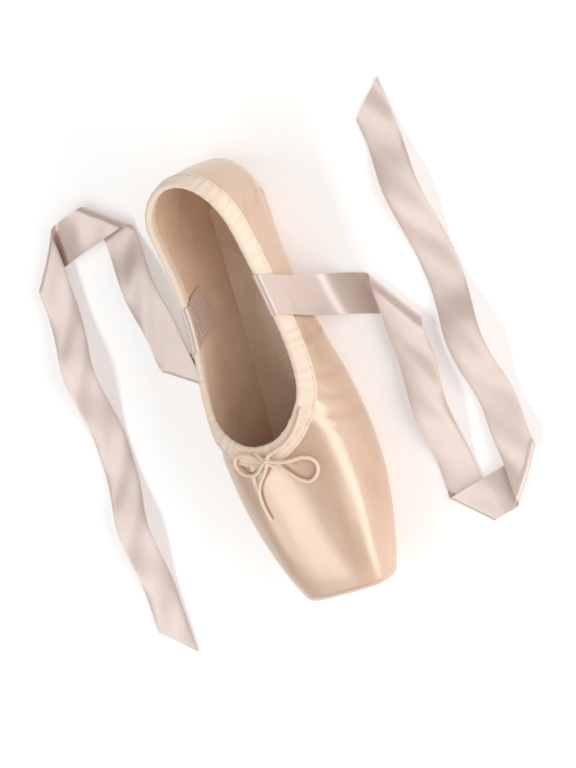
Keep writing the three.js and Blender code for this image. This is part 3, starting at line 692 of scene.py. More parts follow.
    def angle_under(self, row: Array, half: Array) -> Array:
        """The angle on the underside of a section at a half width."""
        s = self.sections(row)
        return -np.arccos(np.clip(half / s.width, 0, 1) ** (s.low / 2))

    def lower_edge(self, row: Array) -> Array:
        """Where the upper ends below: in the middle of the underside, or at its opening's edge.

        Args:
            row: row numbers.

        Returns:
            Angles.
        """
        distance = self.sections(row).distance
        first, last = OUTSOLE_ROWS[0][0], OUTSOLE_ROWS[-1][0]
        _, half = self.plate_half(OUTSOLE_ROWS, (distance - first) / (last - first))
        inside = (distance > first + self.opening_inset) & (distance < last - self.opening_inset)
        inside &= half > self.opening_inset
        half = np.maximum(half - self.opening_inset, self.least_half)
        return np.where(inside, self.angle_under(row, half), -CROWN)

    def angles(self, row: Array, lower: Array, upper: Array, steps: int) -> Array:
        """Angles between two edges of each section, the same distance apart along it in each of two bands,
        so that the opening below doesn't shift the rows of the side.

        Args:
            row: row numbers, of shape (rows,).
            lower: each section's first angle.
            upper: each section's last angle.
            steps: how many stretches each section is cut into.

        Returns:
            Angles of shape (rows, steps + 1).
        """
        share = (1 - np.cos(np.linspace(0, math.pi, self.samples))) / 2
        split, under = np.full_like(lower, self.band_at), round(steps * self.band_share)
        bands = []
        for first, last, count in ((lower, split, under), (split, upper, steps - under)):
            angles = first[:, None] + (last - first)[:, None] * share
            far = lengths(self.point(np.maximum(row, 1)[:, None], angles))
            wanted = np.linspace(0, 1, count + 1)
            bands.append(np.array([np.interp(wanted * f[-1], f, a) for f, a in zip(far, angles)]))
        return np.concatenate([bands[0][:, :-1], bands[1]], axis=1)

    def below_collar(self, share: Array, below: Array) -> tuple[Array, Array, Array, Array]:
        """The place a distance below the collar's edge, square to it on the upper's surface.

        The edge's direction is crossed with the normal, and the place is one straight step that way.

        Args:
            share: shares of the collar's way.
            below: distances below the edge, in mm.

        Returns:
            Row numbers, angles, the direction out of the edge and the normal at the edge.
        """
        h = self.step
        share, below = np.broadcast_arrays(np.asarray(share, float), np.asarray(below, float))
        row, angle = self.collar(share)
        row_a, angle_a = self.collar(np.clip(share - h, 0, 1))
        row_b, angle_b = self.collar(np.clip(share + h, 0, 1))
        by_row, by_angle = self.slopes(row, angle)
        tangent = unit(by_row * (row_b - row_a)[..., None] + by_angle * (angle_b - angle_a)[..., None])
        tangent = np.where((share <= 0)[..., None], (1.0, 0.0, 0.0), tangent)
        tangent = np.where((share >= 1)[..., None], (-1.0, 0.0, 0.0), tangent)
        normal = self.normal(row, angle)
        out = -unit(np.cross(tangent, normal))
        row, angle = self.stepped(row, angle, -out * below[..., None])
        return row, angle, out, normal

    def slopes(self, row: Array, angle: Array) -> tuple[Array, Array]:
        """How the outside moves with the row number and with the angle, from places a small step apart.

        Args:
            row: row numbers.
            angle: angles up the section.

        Returns:
            Both slopes, of shape (..., 3).
        """
        h = self.step
        row_up, angle_up = np.minimum(row + h, 4), np.minimum(angle + h, CROWN)
        by_row = self.point(row_up, angle) - self.point(row - h, angle)
        by_angle = self.point(row, angle_up) - self.point(row, angle - h)
        return by_row / (row_up - row + h)[..., None], by_angle / (angle_up - angle + h)[..., None]

    def stepped(self, row: Array, angle: Array, way: Array) -> tuple[Array, Array]:
        """Places a short way off, by solving the two slopes' equations for the row and the angle.

        Args:
            row: row numbers.
            angle: angles up the section.
            way: the ways to go, in mm.

        Returns:
            The new row numbers and angles.
        """
        by_row, by_angle = self.slopes(row, angle)
        aa, ab, bb = dot(by_row, by_row), dot(by_row, by_angle), dot(by_angle, by_angle)
        wa, wb = dot(by_row, way), dot(by_angle, way)
        size = aa * bb - ab * ab
        return row + (wa * bb - wb * ab) / size, angle + (wb * aa - wa * ab) / size

    def nearest(self, goal: Array, row: Array, angle: Array) -> tuple[Array, Array]:
        """The places of the outside nearest to points in space.

        Args:
            goal: the points, in mm.
            row: row numbers near them.
            angle: angles near them.

        Returns:
            The row numbers and the angles, after a few steps that each go what is left of the way.
        """
        for _ in range(self.searches):
            row, angle = self.stepped(row, angle, goal - self.point(row, angle))
            row, angle = np.minimum(row, 4), np.minimum(angle, CROWN)
        return row, angle

    def on_vamp(self, places: Rows) -> Array:
        """Points over the vamp.

        Args:
            places: for each, the place across the shoe, the distance and the height over the satin.

        Returns:
            Points of shape (count, 3), in mm.
        """
        x, distance, height = np.array(places, float).T
        row = self.row_at(distance)
        s = self.sections(row)
        angle = np.arccos(np.clip(np.abs(x) / s.width, 0, 1) ** (s.high / 2))
        points = self.raised(row, angle, height)
        points[:, 0] *= np.where(x < 0, -1, 1)
        return points


LAST = Last()


def sided(points: Array, side: int | Array) -> Array:
    """Points of the +X half, or their mirror images."""
    return points * np.stack(np.broadcast_arrays(side, 1, 1), axis=-1)


# Creases, pulls and pleats of the satin


def way_through(places: Rows, at: Array) -> tuple[Array, Array]:
    """A smooth way over the satin.

    Args:
        places: what it leads through: distances from the platform in mm, and degrees up the section.
        at: shares of the way.

    Returns:
        The distances and the angles there.
    """
    table = np.array(places, float)
    even = np.linspace(0, 1, len(table))
    distance, degrees = (curve_through(even, column, at) for column in table.T)
    return distance, np.radians(degrees)


@dataclass(frozen=True)
class Crease:
    """One soft trough with puffed lips, or a ridge where its depth is negative. Its path is a list of
    places on one side: distance from the platform in mm, and degrees up the section."""

    side: int
    path: Rows
    depth: float
    width: float
    steps: int = 40
    reach: float = 3.0
    lips: float = 0.8
    fade: float = 0.8

    def line(self) -> Array:
        """The crease's middle line on the satin."""
        distance, angle = way_through(self.path, np.linspace(0, 1, self.steps))
        return sided(LAST.point(LAST.row_at(distance), angle), self.side)

    def height(self, points: Array) -> Array:
        """Its part of the relief: with u the distance over the width, minus the depth times
        (1 - lips u^2) exp(-u^2), faded to nothing at both ends.

        Args:
            points: points on the satin, of shape (count, 3).

        Returns:
            Heights in mm.
        """
        line = self.line()
        reach = self.reach * self.width
        close = np.all((points > line.min(0) - reach) & (points < line.max(0) + reach), axis=1)
        heights = np.zeros(len(points))
        if not close.any():
            return heights
        away = np.linalg.norm(points[close][:, None] - line[None], axis=-1)
        nearest = away.argmin(axis=1)
        u = away[np.arange(len(away)), nearest] / self.width
        fade = np.sin(np.pi * np.clip((nearest + 0.5) / len(line), 0, 1)) ** self.fade
        heights[close] = -self.depth * fade * (1 - self.lips * u * u) * np.exp(-u * u)
        return heights


# The bends, pulls and dents of a pair broken in by use.
CREASES: tuple[Crease, ...] = (
    # Bends across the wings, from the tape at the throat down to the sole.
    Crease(1, ((101, 52), (96, 36), (91, 10), (92, -20)), 0.6, 4.0),
    Crease(1, ((111, 40), (104, 20), (99, -4)), 0.5, 2.8),
    Crease(1, ((93, 42), (86, 26), (80, 8)), 0.26, 3.2),
    Crease(1, ((118, 30), (114, 8), (118, -22)), 0.6, 3.6),
    Crease(-1, ((99, 62), (94, 40), (89, 12), (90, -18)), 0.75, 3.8),
    Crease(-1, ((109, 44), (102, 20), (98, -6)), 0.5, 2.8),
    Crease(-1, ((90, 70), (84, 52), (79, 30)), 0.42, 2.6),
    Crease(-1, ((116, 30), (112, 6), (115, -22)), 0.6, 3.4),
    # The pull beside the knot, where the drawstring is drawn tight.
    Crease(-1, ((84, 84), (78, 78), (71, 75), (62, 75)), 0.42, 1.7),
    Crease(-1, ((84, 78), (79, 70), (74, 64)), 0.32, 1.5),
    Crease(1, ((83, 80), (78, 75), (74, 72)), 0.24, 1.4),
    Crease(1, ((86, 74), (82, 69), (77, 66)), 0.2, 1.6),
    # Soft dents along the box.
    Crease(1, ((24, 60), (44, 56), (66, 56)), -0.5, 6.0),
    Crease(-1, ((20, 66), (44, 66), (70, 68)), -0.45, 6.5),
    Crease(1, ((14, 18), (40, 14), (70, 16)), 0.45, 6.5),
    Crease(-1, ((14, 20), (40, 16), (68, 16)), 0.4, 6.5),
    # The waist of the quarters.
    Crease(1, ((134, 20), (136, 2), (142, -24)), 0.7, 3.4),
    Crease(1, ((150, 16), (154, -4), (156, -30)), 0.55, 3.0),
    Crease(1, ((166, 22), (172, 2), (180, -20)), 0.55, 3.6),
    Crease(-1, ((132, 22), (133, 0), (138, -26)), 0.75, 3.4),
    Crease(-1, ((148, 18), (150, -6), (152, -30)), 0.55, 3.0),
    Crease(-1, ((164, 22), (169, 0), (175, -22)), 0.6, 3.6),
    # Wrinkles above and round the heel.
    Crease(1, ((196, 26), (206, 12), (219, 4)), 0.85, 2.6),
    Crease(1, ((204, 8), (214, -4), (227, -10)), 0.7, 2.6),
    Crease(1, ((214, 30), (224, 22), (233, 20)), 0.7, 2.4),
    Crease(1, ((196, -12), (208, -20), (222, -24)), 0.65, 2.8),
    Crease(-1, ((194, 24), (205, 14), (218, 8)), 0.85, 2.6),
    Crease(-1, ((206, 4), (216, -6), (228, -12)), 0.7, 2.6),
    Crease(-1, ((216, 30), (225, 24), (233, 20)), 0.65, 2.4),
    Crease(-1, ((194, -14), (206, -22), (220, -26)), 0.65, 2.8),
)


@dataclass(frozen=True)
class Fan:
    """Pleats that fan out from one end of the outsole. Its centre is a distance from the platform, its half
    is the outsole's half width there, and its sense is -1 at the toe and 1 at the heel."""

    centre: float
    half: float
    count: int
    sense: int
    depth: float = 1.1
    # The saw: how unevenly it runs, where its crest lies and how much of it lies below the last.
    unevenness: float = 0.25
    uneven_rate: float = 2.3
    crest: float = 0.35
    sunk: float = 0.4
    # Distances over which the pleats rise and die, from the outsole's rim, and start, from the centre.
    rises: Pair = (-0.5, 2.0)
    dies: Pair = (3.0, 15.0)
    starts: Pair = (-4.0, 6.0)

    def height(self, points: Array) -> Array:
        """A rounded saw of the angle round the fan's centre, which dies out over the pleats' reach and
        under the outsole.

        Args:
            points: points on the satin, of shape (..., 3).

        Returns:
            Heights in mm.
        """
        x, y = points[..., 0], (points[..., 1] - (self.centre - LAST.ball_at)) * self.sense
        away = np.hypot(x, y) - self.half
        wave = np.arctan2(x, y) / math.pi * self.count
        saw = np.abs(((wave + self.unevenness * np.sin(wave * self.uneven_rate)) % 1.0) - self.crest)
        shape = 0.5 + 0.5 * np.cos(np.clip(saw / self.crest, 0, 1) * math.pi)
        fade = smooth(*self.rises, away) * (1 - smooth(*self.dies, away)) * smooth(*self.starts, y)
        return self.depth * fade * (shape - self.sunk)


@dataclass(frozen=True)
class Relief:
    """How the satin departs from the last: creases, pleats round the outsole and puckers at the tape."""

    fans: tuple[Fan, ...] = (
        Fan(centre=39, half=15.5, count=15, sense=-1),
        Fan(centre=219, half=16.5, count=13, sense=1),
    )
    pleats_from: float = math.radians(20)
    pleats_full: float = math.radians(52)
    creases_from: float = 6.0
    creases_full: float = 16.0
    pucker_height: float = 0.2
    pucker_length: float = 7.0
    pucker_fades: Pair = (8.0, 15.0)
    pucker_side: float = 6.0
    pucker_shift: float = 40.0
    pucker_seed: int = 5
    tape_from: float = 4.0
    tape_to: float = 10.0

    def height(
        self, row: Array, angle: Array, side: int | Array, below: Array, puckered: bool = True
    ) -> Array:
        """The whole relief on one half of the upper.

        Args:
            row: row numbers.
            angle: angles up the section.
            side: which half.
            below: how far each point lies below the collar's edge, in mm, large in the box.
            puckered: with the puckers that the tape draws into the satin, on either side of the middle.

        Returns:
            Heights over the last, in mm.
        """
        points = sided(LAST.point(row, angle), side)
        flat = points.reshape(-1, 3)
        creases = sum(crease.height(flat) for crease in CREASES).reshape(np.shape(row))
        distance = points[..., 1] + LAST.ball_at
        under = smooth(self.pleats_from, self.pleats_full, -angle)
        pleated = under * sum(fan.height(points) for fan in self.fans)
        clear_of_tape = smooth(self.tape_from, self.tape_to, below)
        height = creases * clear_of_tape * smooth(self.creases_from, self.creases_full, distance) + pleated
        if puckered:
            near_tape = clear_of_tape * (1 - smooth(*self.pucker_fades, below))
            shifted = points[..., 1] + self.pucker_shift * side
            puckers = ripple(shifted, self.pucker_seed + side, self.pucker_length)
            beside_middle = smooth(0, self.pucker_side, np.abs(points[..., 0]))
            height = height + self.pucker_height * puckers * near_tape * beside_middle
        return height


# Finishes


class Desk:
    """A node tree being wired up."""

    def __init__(self, tree: Tree) -> None:
        """Starts on a tree."""
        self.tree = tree

    def add(self, kind: str, inputs: dict | None = None, **settings: object) -> Node:
        """Adds a node.

        Args:
            kind: the node's type, without the ShaderNode in front where it has one.
            inputs: sockets by name or number, each with a value or the socket that feeds it.
            settings: the node's own settings.

        Returns:
            The node.
        """
        node = self.tree.nodes.new(kind if kind.startswith("Node") else f"ShaderNode{kind}")
        for name, value in settings.items():
            setattr(node, name, value)
        self.feed(node, inputs or {})
        return node

    def feed(self, node: Node, inputs: dict) -> None:
        """Sets a node's sockets.

        Args:
            node: the node.
            inputs: sockets by name or number, each with a value or the socket that feeds it.
        """
        for name, value in inputs.items():
            if isinstance(value, bpy.types.NodeSocket):
                self.tree.links.new(value, node.inputs[name])
            else:
                node.inputs[name].default_value = value

    def maths(self, operation: str, *values: object) -> bpy.types.NodeSocket:
        """The result of a Math node."""
        return self.add("Math", dict(enumerate(values)), operation=operation).outputs[0]

    def noise(self, places: object, scale: object, detail: float, roughness: float = 0.5) -> object:
        """The height of a noise."""
        values = {"Vector": places, "Scale": scale, "Detail": detail, "Roughness": roughness}
        return self.add("TexNoise", values).outputs[0]

    def mixed(self, share: object, first: object, second: object) -> bpy.types.NodeSocket:
        """A mix of two colours."""
        return self.add("Mix", {0: share, 6: first, 7: second}, data_type="RGBA").outputs[2]


def rgba(colour: Colour) -> tuple[float, float, float, float]:
    """A colour as a socket takes it."""
    return (*colour, 1.0)


def effect(name: str, inputs: dict[str, tuple], outputs: dict[str, str]) -> tuple[Desk, Node, Node]:
    """An empty node group with its sockets.

    Args:
        name: the effect's name.
        inputs: each input's type and value.
        outputs: each output's type.

    Returns:
        A desk on the group, and its input and output nodes.
    """
    group = bpy.data.node_groups.new(name, "ShaderNodeTree")
    for socket, (kind, value) in inputs.items():
        made = group.interface.new_socket(socket, in_out="INPUT", socket_type=f"NodeSocket{kind}")
        if value is not None:
            made.default_value = value
    for socket, kind in outputs.items():
        group.interface.new_socket(socket, in_out="OUTPUT", socket_type=f"NodeSocket{kind}")
    desk = Desk(group)
    return desk, desk.add("NodeGroupInput"), desk.add("NodeGroupOutput")


@cache
def fibre_streaks() -> Tree:
    """Long fine streaks: noise on places stretched along the cloth.

    Returns:
        The effect, built at its first use.
    """
    broadness = 0.12
    inputs = {
        "Place": ("Vector", None),
        "Stretch": ("Vector", (1.0, 0.05, 1.0)),
        "Fineness": ("Float", 2000.0),
    }
    desk, given, result = effect("fibre_streaks", inputs, {"Height": "Float", "Broad": "Float"})
    places, stretch, fineness = (given.outputs[name] for name in inputs)
    drawn = desk.add("VectorMath", {0: places, 1: stretch}, operation="MULTIPLY").outputs[0]
    broad = desk.noise(drawn, desk.maths("MULTIPLY", fineness, broadness), detail=2.0)
    desk.feed(result, {"Height": desk.noise(drawn, fineness, detail=3.0), "Broad": broad})
    return desk.tree


@cache
def weave() -> Tree:
    """A plain weave: threads along and across, each a half sine, over and under by turns.

    Returns:
        The effect, built at its first use.
    """
    inputs = {"Place": ("Vector", None), "Threads": ("Float", 1500.0)}
    desk, given, result = effect("weave", inputs, {"Height": "Float", "Gap": "Float"})
    sockets = {0: given.outputs["Place"], "Scale": given.outputs["Threads"]}
    scaled = desk.add("VectorMath", sockets, operation="SCALE")
    parts = desk.add("SeparateXYZ", {0: scaled.outputs[0]})
    turns = [desk.maths("MULTIPLY", parts.outputs[k], math.pi) for k in range(2)]
    along, across = (desk.maths("ABSOLUTE", desk.maths("SINE", turn)) for turn in turns)
    signs = [desk.maths("SINE", desk.maths("ADD", turn, math.pi / 2)) for turn in turns]
    over = desk.maths("GREATER_THAN", desk.maths("MULTIPLY", *signs), 0.0)
    under = desk.maths("SUBTRACT", 1.0, over)
    height = desk.maths("ADD", desk.maths("MULTIPLY", along, over), desk.maths("MULTIPLY", across, under))
    desk.feed(result, {"Height": height, "Gap": desk.maths("SUBTRACT", 1.0, height)})
    return desk.tree


@cache
def mottle() -> Tree:
    """Soft clouds between two colours, for handling marks and uneven dye.

    Returns:
        The effect, built at its first use.
    """
    inputs = {
        "Place": ("Vector", None),
        "Size": ("Float", 40.0),
        "Strength": ("Float", 0.5),
        "Clean": ("Color", rgba((0.8, 0.8, 0.8))),
        "Worn": ("Color", rgba((0.6, 0.6, 0.6))),
    }
    desk, given, result = effect("mottle", inputs, {"Color": "Color", "Mask": "Float"})
    places, size, strength, clean, worn_and_shade = (given.outputs[name] for name in inputs)
    cloud = desk.noise(places, size, detail=5.0)
    mask = desk.add("MapRange", {"Value": cloud, "From Min": 0.38, "From Max": 0.68}, clamp=True)
    share = desk.maths("MULTIPLY", mask.outputs[0], strength)
    desk.feed(result, {"Color": desk.mixed(share, clean, worn_and_shade), "Mask": share})
    return desk.tree


def new_material(name: str) -> tuple[bpy.types.Material, Desk, Node]:
    """A new material, a desk on its nodes, and its shader."""
    material = bpy.data.materials.new(name)
    material.use_nodes = True
    return material, Desk(material.node_tree), material.node_tree.nodes["Principled BSDF"]


@dataclass(frozen=True)
class Finish:
    """What every finish has: a name, its main colour, a darker colour for its worn places and its painted
    shade, and whether it reads its places from the cloth or from the object."""

    name: str
    colour: Colour
    worn_and_shade: Colour
    roughness: float = 0.8
    by_cloth: bool = False

    def material(self) -> bpy.types.Material:
        """The finish's material.

        Returns:
            The material, made at its first use.
        """
        ready = bpy.data.materials.get(self.name)
        if ready:
            return ready
        material, desk, shader = new_material(self.name)
        material.diffuse_color = rgba(self.colour)
        desk.feed(shader, {"Roughness": self.roughness})
        self.wire(desk, shader, desk.add("TexCoord").outputs["UV" if self.by_cloth else "Object"])
        return material

    def wire(self, desk: Desk, shader: Node, places: object) -> None:
        """Wires the finish's own nodes, which each kind of finish has.

        Args:
            desk: the desk on the material.
            shader: its shader.
            places: the places that the patterns read.
        """
        raise NotImplementedError

    def mottled(self, desk: Desk, places: object, size: float, strength: float) -> object:
        """The mottle effect's colour, in this finish's colours."""
        inputs = {"Place": places, "Size": size, "Strength": strength}
        inputs |= {"Clean": rgba(self.colour), "Worn": rgba(self.worn_and_shade)}
        return desk.add("Group", inputs, node_tree=mottle()).outputs["Color"]

    def shadowed(self, desk: Desk, mask: object, strength: float, colour: object) -> object:
        """A colour darkened where a mask says so: painted shade in creases and weave gaps, darker nap and
        fluff.
        """
        return desk.mixed(desk.maths("MULTIPLY", mask, strength), colour, rgba(self.worn_and_shade))

    def dress(self, desk: Desk, shader: Node, height: object, depth: float, **sockets: object) -> None:
        """Feeds the shader: a bump whose depth is in mm, and sockets whose names have _ for spaces."""
        bump = desk.add("Bump", {"Height": height, "Strength": 1.0, "Distance": depth * MM})
        desk.feed(shader, {"Normal": bump.outputs[0]})
        desk.feed(shader, {name.replace("_", " "): value for name, value in sockets.items()})


@dataclass(frozen=True)
class Satin(Finish):
    """Woven satin with a lengthwise gleam."""

    roughness: float = 0.33
    gleam: float = 0.16
    stretch: Triple = (1.0, 0.04, 1.0)
    streak_depth: float = 0.006
    threads: float = 2600.0
    gloss_varies: Pair = (-0.07, 0.09)
    cloud_size: float = 26.0
    dye: float = 0.35
    # A paler colour mixed in along the broad fibre streaks: painted sheen.
    glint: Colour = (1.0, 0.95, 0.9)
    glint_share: float = 0.5
    painted_sheen_share: float = 0.16
    woven: float = 0.3
    # How far the creases and seam grooves are darkened: painted shade.
    trough_shade: float = 0.5
    shaded: bool = False

    def wire(self, desk: Desk, shader: Node, places: object) -> None:
        """Streaks along the cloth in gloss and bump, a paler painted sheen along them, uneven dye, and
        painted shade in creases and seam grooves.
        """
        drawn = {"Place": places, "Stretch": self.stretch, "Fineness": self.threads}
        streaks = desk.add("Group", drawn, node_tree=fibre_streaks())
        threads = desk.add("Group", {"Place": places, "Threads": self.threads}, node_tree=weave())
        # Painted sheen: a paler colour mixed in along the broad fibre streaks.
        light = desk.mixed(self.glint_share, rgba(self.colour), rgba(self.glint))
        share = desk.maths("MULTIPLY", streaks.outputs["Broad"], self.painted_sheen_share)
        colour = desk.mixed(share, self.mottled(desk, places, self.cloud_size, self.dye), light)
        # Painted shade: the colour darkens towards the finish's darker colour in creases and seam grooves.
        if self.shaded:
            trough = desk.add("Attribute", None, attribute_name="shade").outputs["Fac"]
            colour = self.shadowed(desk, trough, self.trough_shade, colour)
        low, high = (self.roughness + change for change in self.gloss_varies)
        rough = desk.add("MapRange", {"Value": streaks.outputs["Height"], "To Min": low, "To Max": high})
        woven = desk.maths("MULTIPLY", threads.outputs["Height"], self.woven)
        height = desk.maths("ADD", streaks.outputs["Height"], woven)
        gloss = {"Roughness": rough.outputs[0], "Metallic": self.gleam, "Specular_IOR_Level": 1.0}
        gloss |= {"Coat_Weight": 0.7, "Coat_IOR": 1.9, "Coat_Roughness": 0.3}
        gloss |= {"Sheen_Weight": 0.12, "Sheen_Roughness": 0.4}
        self.dress(desk, shader, height, self.streak_depth, Base_Color=colour, **gloss)


@dataclass(frozen=True)
class Cloth(Finish):
    """Plain woven cotton: the tape, the lining and the insole's cover."""

    threads: float = 1500.0
    depth: float = 0.12
    cloud_size: float = 55.0
    soil: float = 0.5
    # How far the weave's gaps between threads are darkened: painted shade.
    gap_shade: float = 0.3
    fluff: float = 0.5
    fluff_fineness: float = 0.9

    def wire(self, desk: Desk, shader: Node, places: object) -> None:
        """A weave in bump, painted shade in the weave's gaps, and soft soiling."""
        threads = desk.add("Group", {"Place": places, "Threads": self.threads}, node_tree=weave())
        colour = self.mottled(desk, places, self.cloud_size, self.soil)
        # Painted shade in the weave's gaps between the threads.
        colour = self.shadowed(desk, threads.outputs["Gap"], self.gap_shade, colour)
        fluff = desk.noise(places, self.threads * self.fluff_fineness, detail=2.0)
        height = desk.maths("ADD", threads.outputs["Height"], desk.maths("MULTIPLY", fluff, self.fluff))
        gloss = {"Sheen_Weight": 0.25, "Sheen_Roughness": 0.6, "Specular_IOR_Level": 0.25}
        self.dress(desk, shader, height, self.depth, Base_Color=colour, **gloss)


@dataclass(frozen=True)
class Suede(Finish):
    """Split leather with a short nap, rubbed darker where it meets the floor."""

    depth: float = 0.22
    nap: float = 2400.0
    nap_shade: float = 0.35
    pores: float = 900.0
    pore_share: float = 0.5
    cloud_size: float = 38.0
    rubbed: float = 0.8

    def wire(self, desk: Desk, shader: Node, places: object) -> None:
        """A fine nap, larger pores and rubbed clouds."""
        nap = desk.noise(places, self.nap, detail=6.0, roughness=0.7)
        pores = desk.add("TexVoronoi", {"Vector": places, "Scale": self.pores}, feature="F1").outputs[0]
        colour = self.mottled(desk, places, self.cloud_size, self.rubbed)
        colour = self.shadowed(desk, nap, self.nap_shade, colour)
        height = desk.maths("ADD", nap, desk.maths("MULTIPLY", pores, self.pore_share))
        gloss = {"Sheen_Weight": 0.2, "Specular_IOR_Level": 0.2}
        self.dress(desk, shader, height, self.depth, Base_Color=colour, **gloss)


@dataclass(frozen=True)
class Braid(Finish):
    """Braided or twisted cotton: cord and thread."""

    depth: float = 0.12
    fluff: float = 3000.0
    fluff_shade: float = 0.4

    def wire(self, desk: Desk, shader: Node, places: object) -> None:
        """Fluff and darker gaps over the braid's modelled strands."""
        fluff = desk.noise(places, self.fluff, detail=4.0)
        colour = self.shadowed(desk, fluff, self.fluff_shade, rgba(self.colour))
        gloss = {"Sheen_Weight": 0.3, "Specular_IOR_Level": 0.25}
        self.dress(desk, shader, fluff, self.depth, Base_Color=colour, **gloss)


# The satin's darker colour serves both its uneven dye and its painted shade in creases and seam grooves.
SATIN = Satin("peach_satin", (0.66, 0.44, 0.30), (0.58, 0.335, 0.205), shaded=True)
RIBBON_SATIN = Satin(
    "ribbon_satin",
    (0.66, 0.51, 0.445),
    (0.57, 0.42, 0.355),
    roughness=0.36,
    by_cloth=True,
    gleam=0.1,
    stretch=(1.0, 0.03, 1.0),
)
TAPE = Cloth("cream_tape", (0.98, 0.825, 0.675), (0.90, 0.71, 0.55), by_cloth=True, soil=0.3)
LINING = Cloth("cotton_lining", (0.86, 0.64, 0.47), (0.68, 0.44, 0.30), by_cloth=True, threads=1300.0)
INSOLE_CLOTH = Cloth("insole_cloth", (0.86, 0.69, 0.53), (0.66, 0.47, 0.34), threads=1100.0)
SOLE_LEATHER = Suede("sole_suede", (0.56, 0.39, 0.27), (0.40, 0.26, 0.17), roughness=0.9)
CORD = Braid("cotton_cord", (0.88, 0.70, 0.55), (0.74, 0.54, 0.40))
THREAD = Braid("sewing_thread", (0.88, 0.74, 0.62), (0.70, 0.53, 0.41))


# The studio


@dataclass(frozen=True)
class Lamp:
    """A rectangular soft light that faces the shoe: the direction from the shoe to it, how far it stands and
    its size in metres, and its power in watts."""

    name: str
    stand: Colour
    away: float
    size: Pair
    power: float


# A broad light over the left shoulder, a strip low on the right, and a little light on the toe.
LAMPS = (
    Lamp("broad", stand=(-0.60, -0.20, 0.78), away=1.5, size=(0.42, 2.2), power=9.5),
    Lamp("strip", stand=(0.90, -0.26, 0.42), away=1.3, size=(0.62, 2.4), power=14.5),
    Lamp("toe", stand=(0.1, -0.95, 0.5), away=1.6, size=(1.2, 0.6), power=1.5),
)


@dataclass(frozen=True)
class Studio:
    """Camera, lights and floor. The camera looks down on the instep from the +X side, as the photograph
    does, and is rolled so that the toe points down and to the right."""

    elevation: float = 55.0
    heelward: float = 6.0
    roll: float = 20.0
    away: float = 1.9
    lens: float = 168.0
    clip_start: float = 0.05
    aim: Triple = (2.0, 36.0, 18.0)
    white: Colour = (1.0, 0.995, 0.985)
    surround: Colour = (1.0, 0.99, 0.98)
    surround_strength: float = 0.40
    floor_at: float = -0.0001
    floor_half: float = 6.0
    floor_colour: Colour = (0.95, 0.945, 0.94)
    floor_glow: float = 0.25

    def stood(self, made: Piece, back: Vector, away: float, axes: tuple[Vector, ...]) -> None:
        """Stands a camera or lamp away from the aim, turned to its three axes."""
        turn = Matrix(axes).transposed().to_4x4()
        made.matrix_world = Matrix.Translation(Vector(self.aim) * MM + back * away) @ turn

    def camera(self) -> None:
        """Makes the camera."""
        lift, round_y = math.radians(self.elevation), math.radians(self.heelward)
        level = math.cos(lift)
        back = Vector((level * math.cos(round_y), level * math.sin(round_y), math.sin(lift)))
        up = Matrix.Rotation(math.radians(-self.roll), 3, back) @ Vector((0, 1, 0))
        right = up.cross(back).normalized()
        data = bpy.data.cameras.new("camera")
        data.lens, data.clip_start = self.lens, self.clip_start
        camera = linked("camera", data)
        self.stood(camera, back, self.away, (right, back.cross(right), back))
        bpy.context.scene.camera = camera

    def lights(self) -> None:
        """Makes the lamps and a pale surround."""
        for lamp in LAMPS:
            data = bpy.data.lights.new(lamp.name, "AREA")
            data.shape, data.size, data.size_y = "RECTANGLE", *lamp.size
            data.energy, data.color = lamp.power, self.white
            back = Vector(lamp.stand).normalized()
            along = (Vector((0, 1, 0)) - back * back.y).normalized()
            self.stood(linked(lamp.name, data), back, lamp.away, (along.cross(back), along, back))
        world = bpy.data.worlds.new("surround")
        bpy.context.scene.world = world
        world.use_nodes = True
        values = {"Color": rgba(self.surround), "Strength": self.surround_strength}
        Desk(world.node_tree).feed(world.node_tree.nodes["Background"], values)

    def floor(self) -> None:
        """A plain white floor."""
        half, at = self.floor_half, self.floor_at
        mesh = bpy.data.meshes.new("floor")
        corners = [(-half, -half, at), (half, -half, at), (half, half, at), (-half, half, at)]
        mesh.from_pydata(corners, [], [(0, 1, 2, 3)])
        material, desk, shader = new_material("floor_white")
        glow = {"Emission Color": rgba((1.0, 1.0, 1.0)), "Emission Strength": self.floor_glow}
        desk.feed(shader, {"Base Color": rgba(self.floor_colour), "Roughness": 0.9, **glow})
        mesh.materials.append(material)
        linked("floor", mesh)

    def tones(self) -> None:
        """Plain tones, so that white stays white."""
        bpy.context.scene.view_settings.view_transform = "Standard"
        bpy.context.scene.view_settings.look = "None"


# The drawstring

# Routes over the vamp: place across the shoe, distance from the platform and height over the satin, in mm.
LOOP_LEFT: Rows = (
    (-3.3, 82.8, 3.7), (-7.6, 86.6, 3.4), (-13.0, 89.0, 3.2), (-18.0, 88.2, 3.0), (-20.2, 84.0, 2.9),
    (-18.8, 79.6, 2.4), (-14.0, 76.8, 1.7), (-8.8, 77.2, 2.3), (-3.4, 80.2, 3.5),
)
LOOP_RIGHT: Rows = (
    (3.4, 81.2, 3.7), (8.0, 79.4, 3.3), (13.4, 78.6, 2.9), (18.8, 78.4, 2.3), (23.0, 76.4, 1.7),
    (24.8, 71.8, 1.4), (22.8, 67.2, 1.4), (18.4, 65.0, 1.4), (13.4, 67.4, 1.4), (9.2, 72.4, 1.6),
    (5.2, 76.8, 2.6), (2.6, 79.2, 3.4),
)
END_LEFT: Rows = (
    (-1.4, 78.6, 3.2), (-5.2, 75.4, 2.4), (-10.2, 71.4, 1.5), (-13.8, 66.6, 1.4), (-15.0, 61.0, 1.4),
    (-15.2, 55.4, 1.4), (-14.8, 50.6, 1.4),
)
END_RIGHT: Rows = (
    (2.6, 84.2, 3.8), (7.2, 86.0, 3.4), (13.2, 87.6, 3.0), (19.0, 91.0, 2.9), (24.2, 96.6, 2.8),
    (28.2, 103.6, 2.7),
)
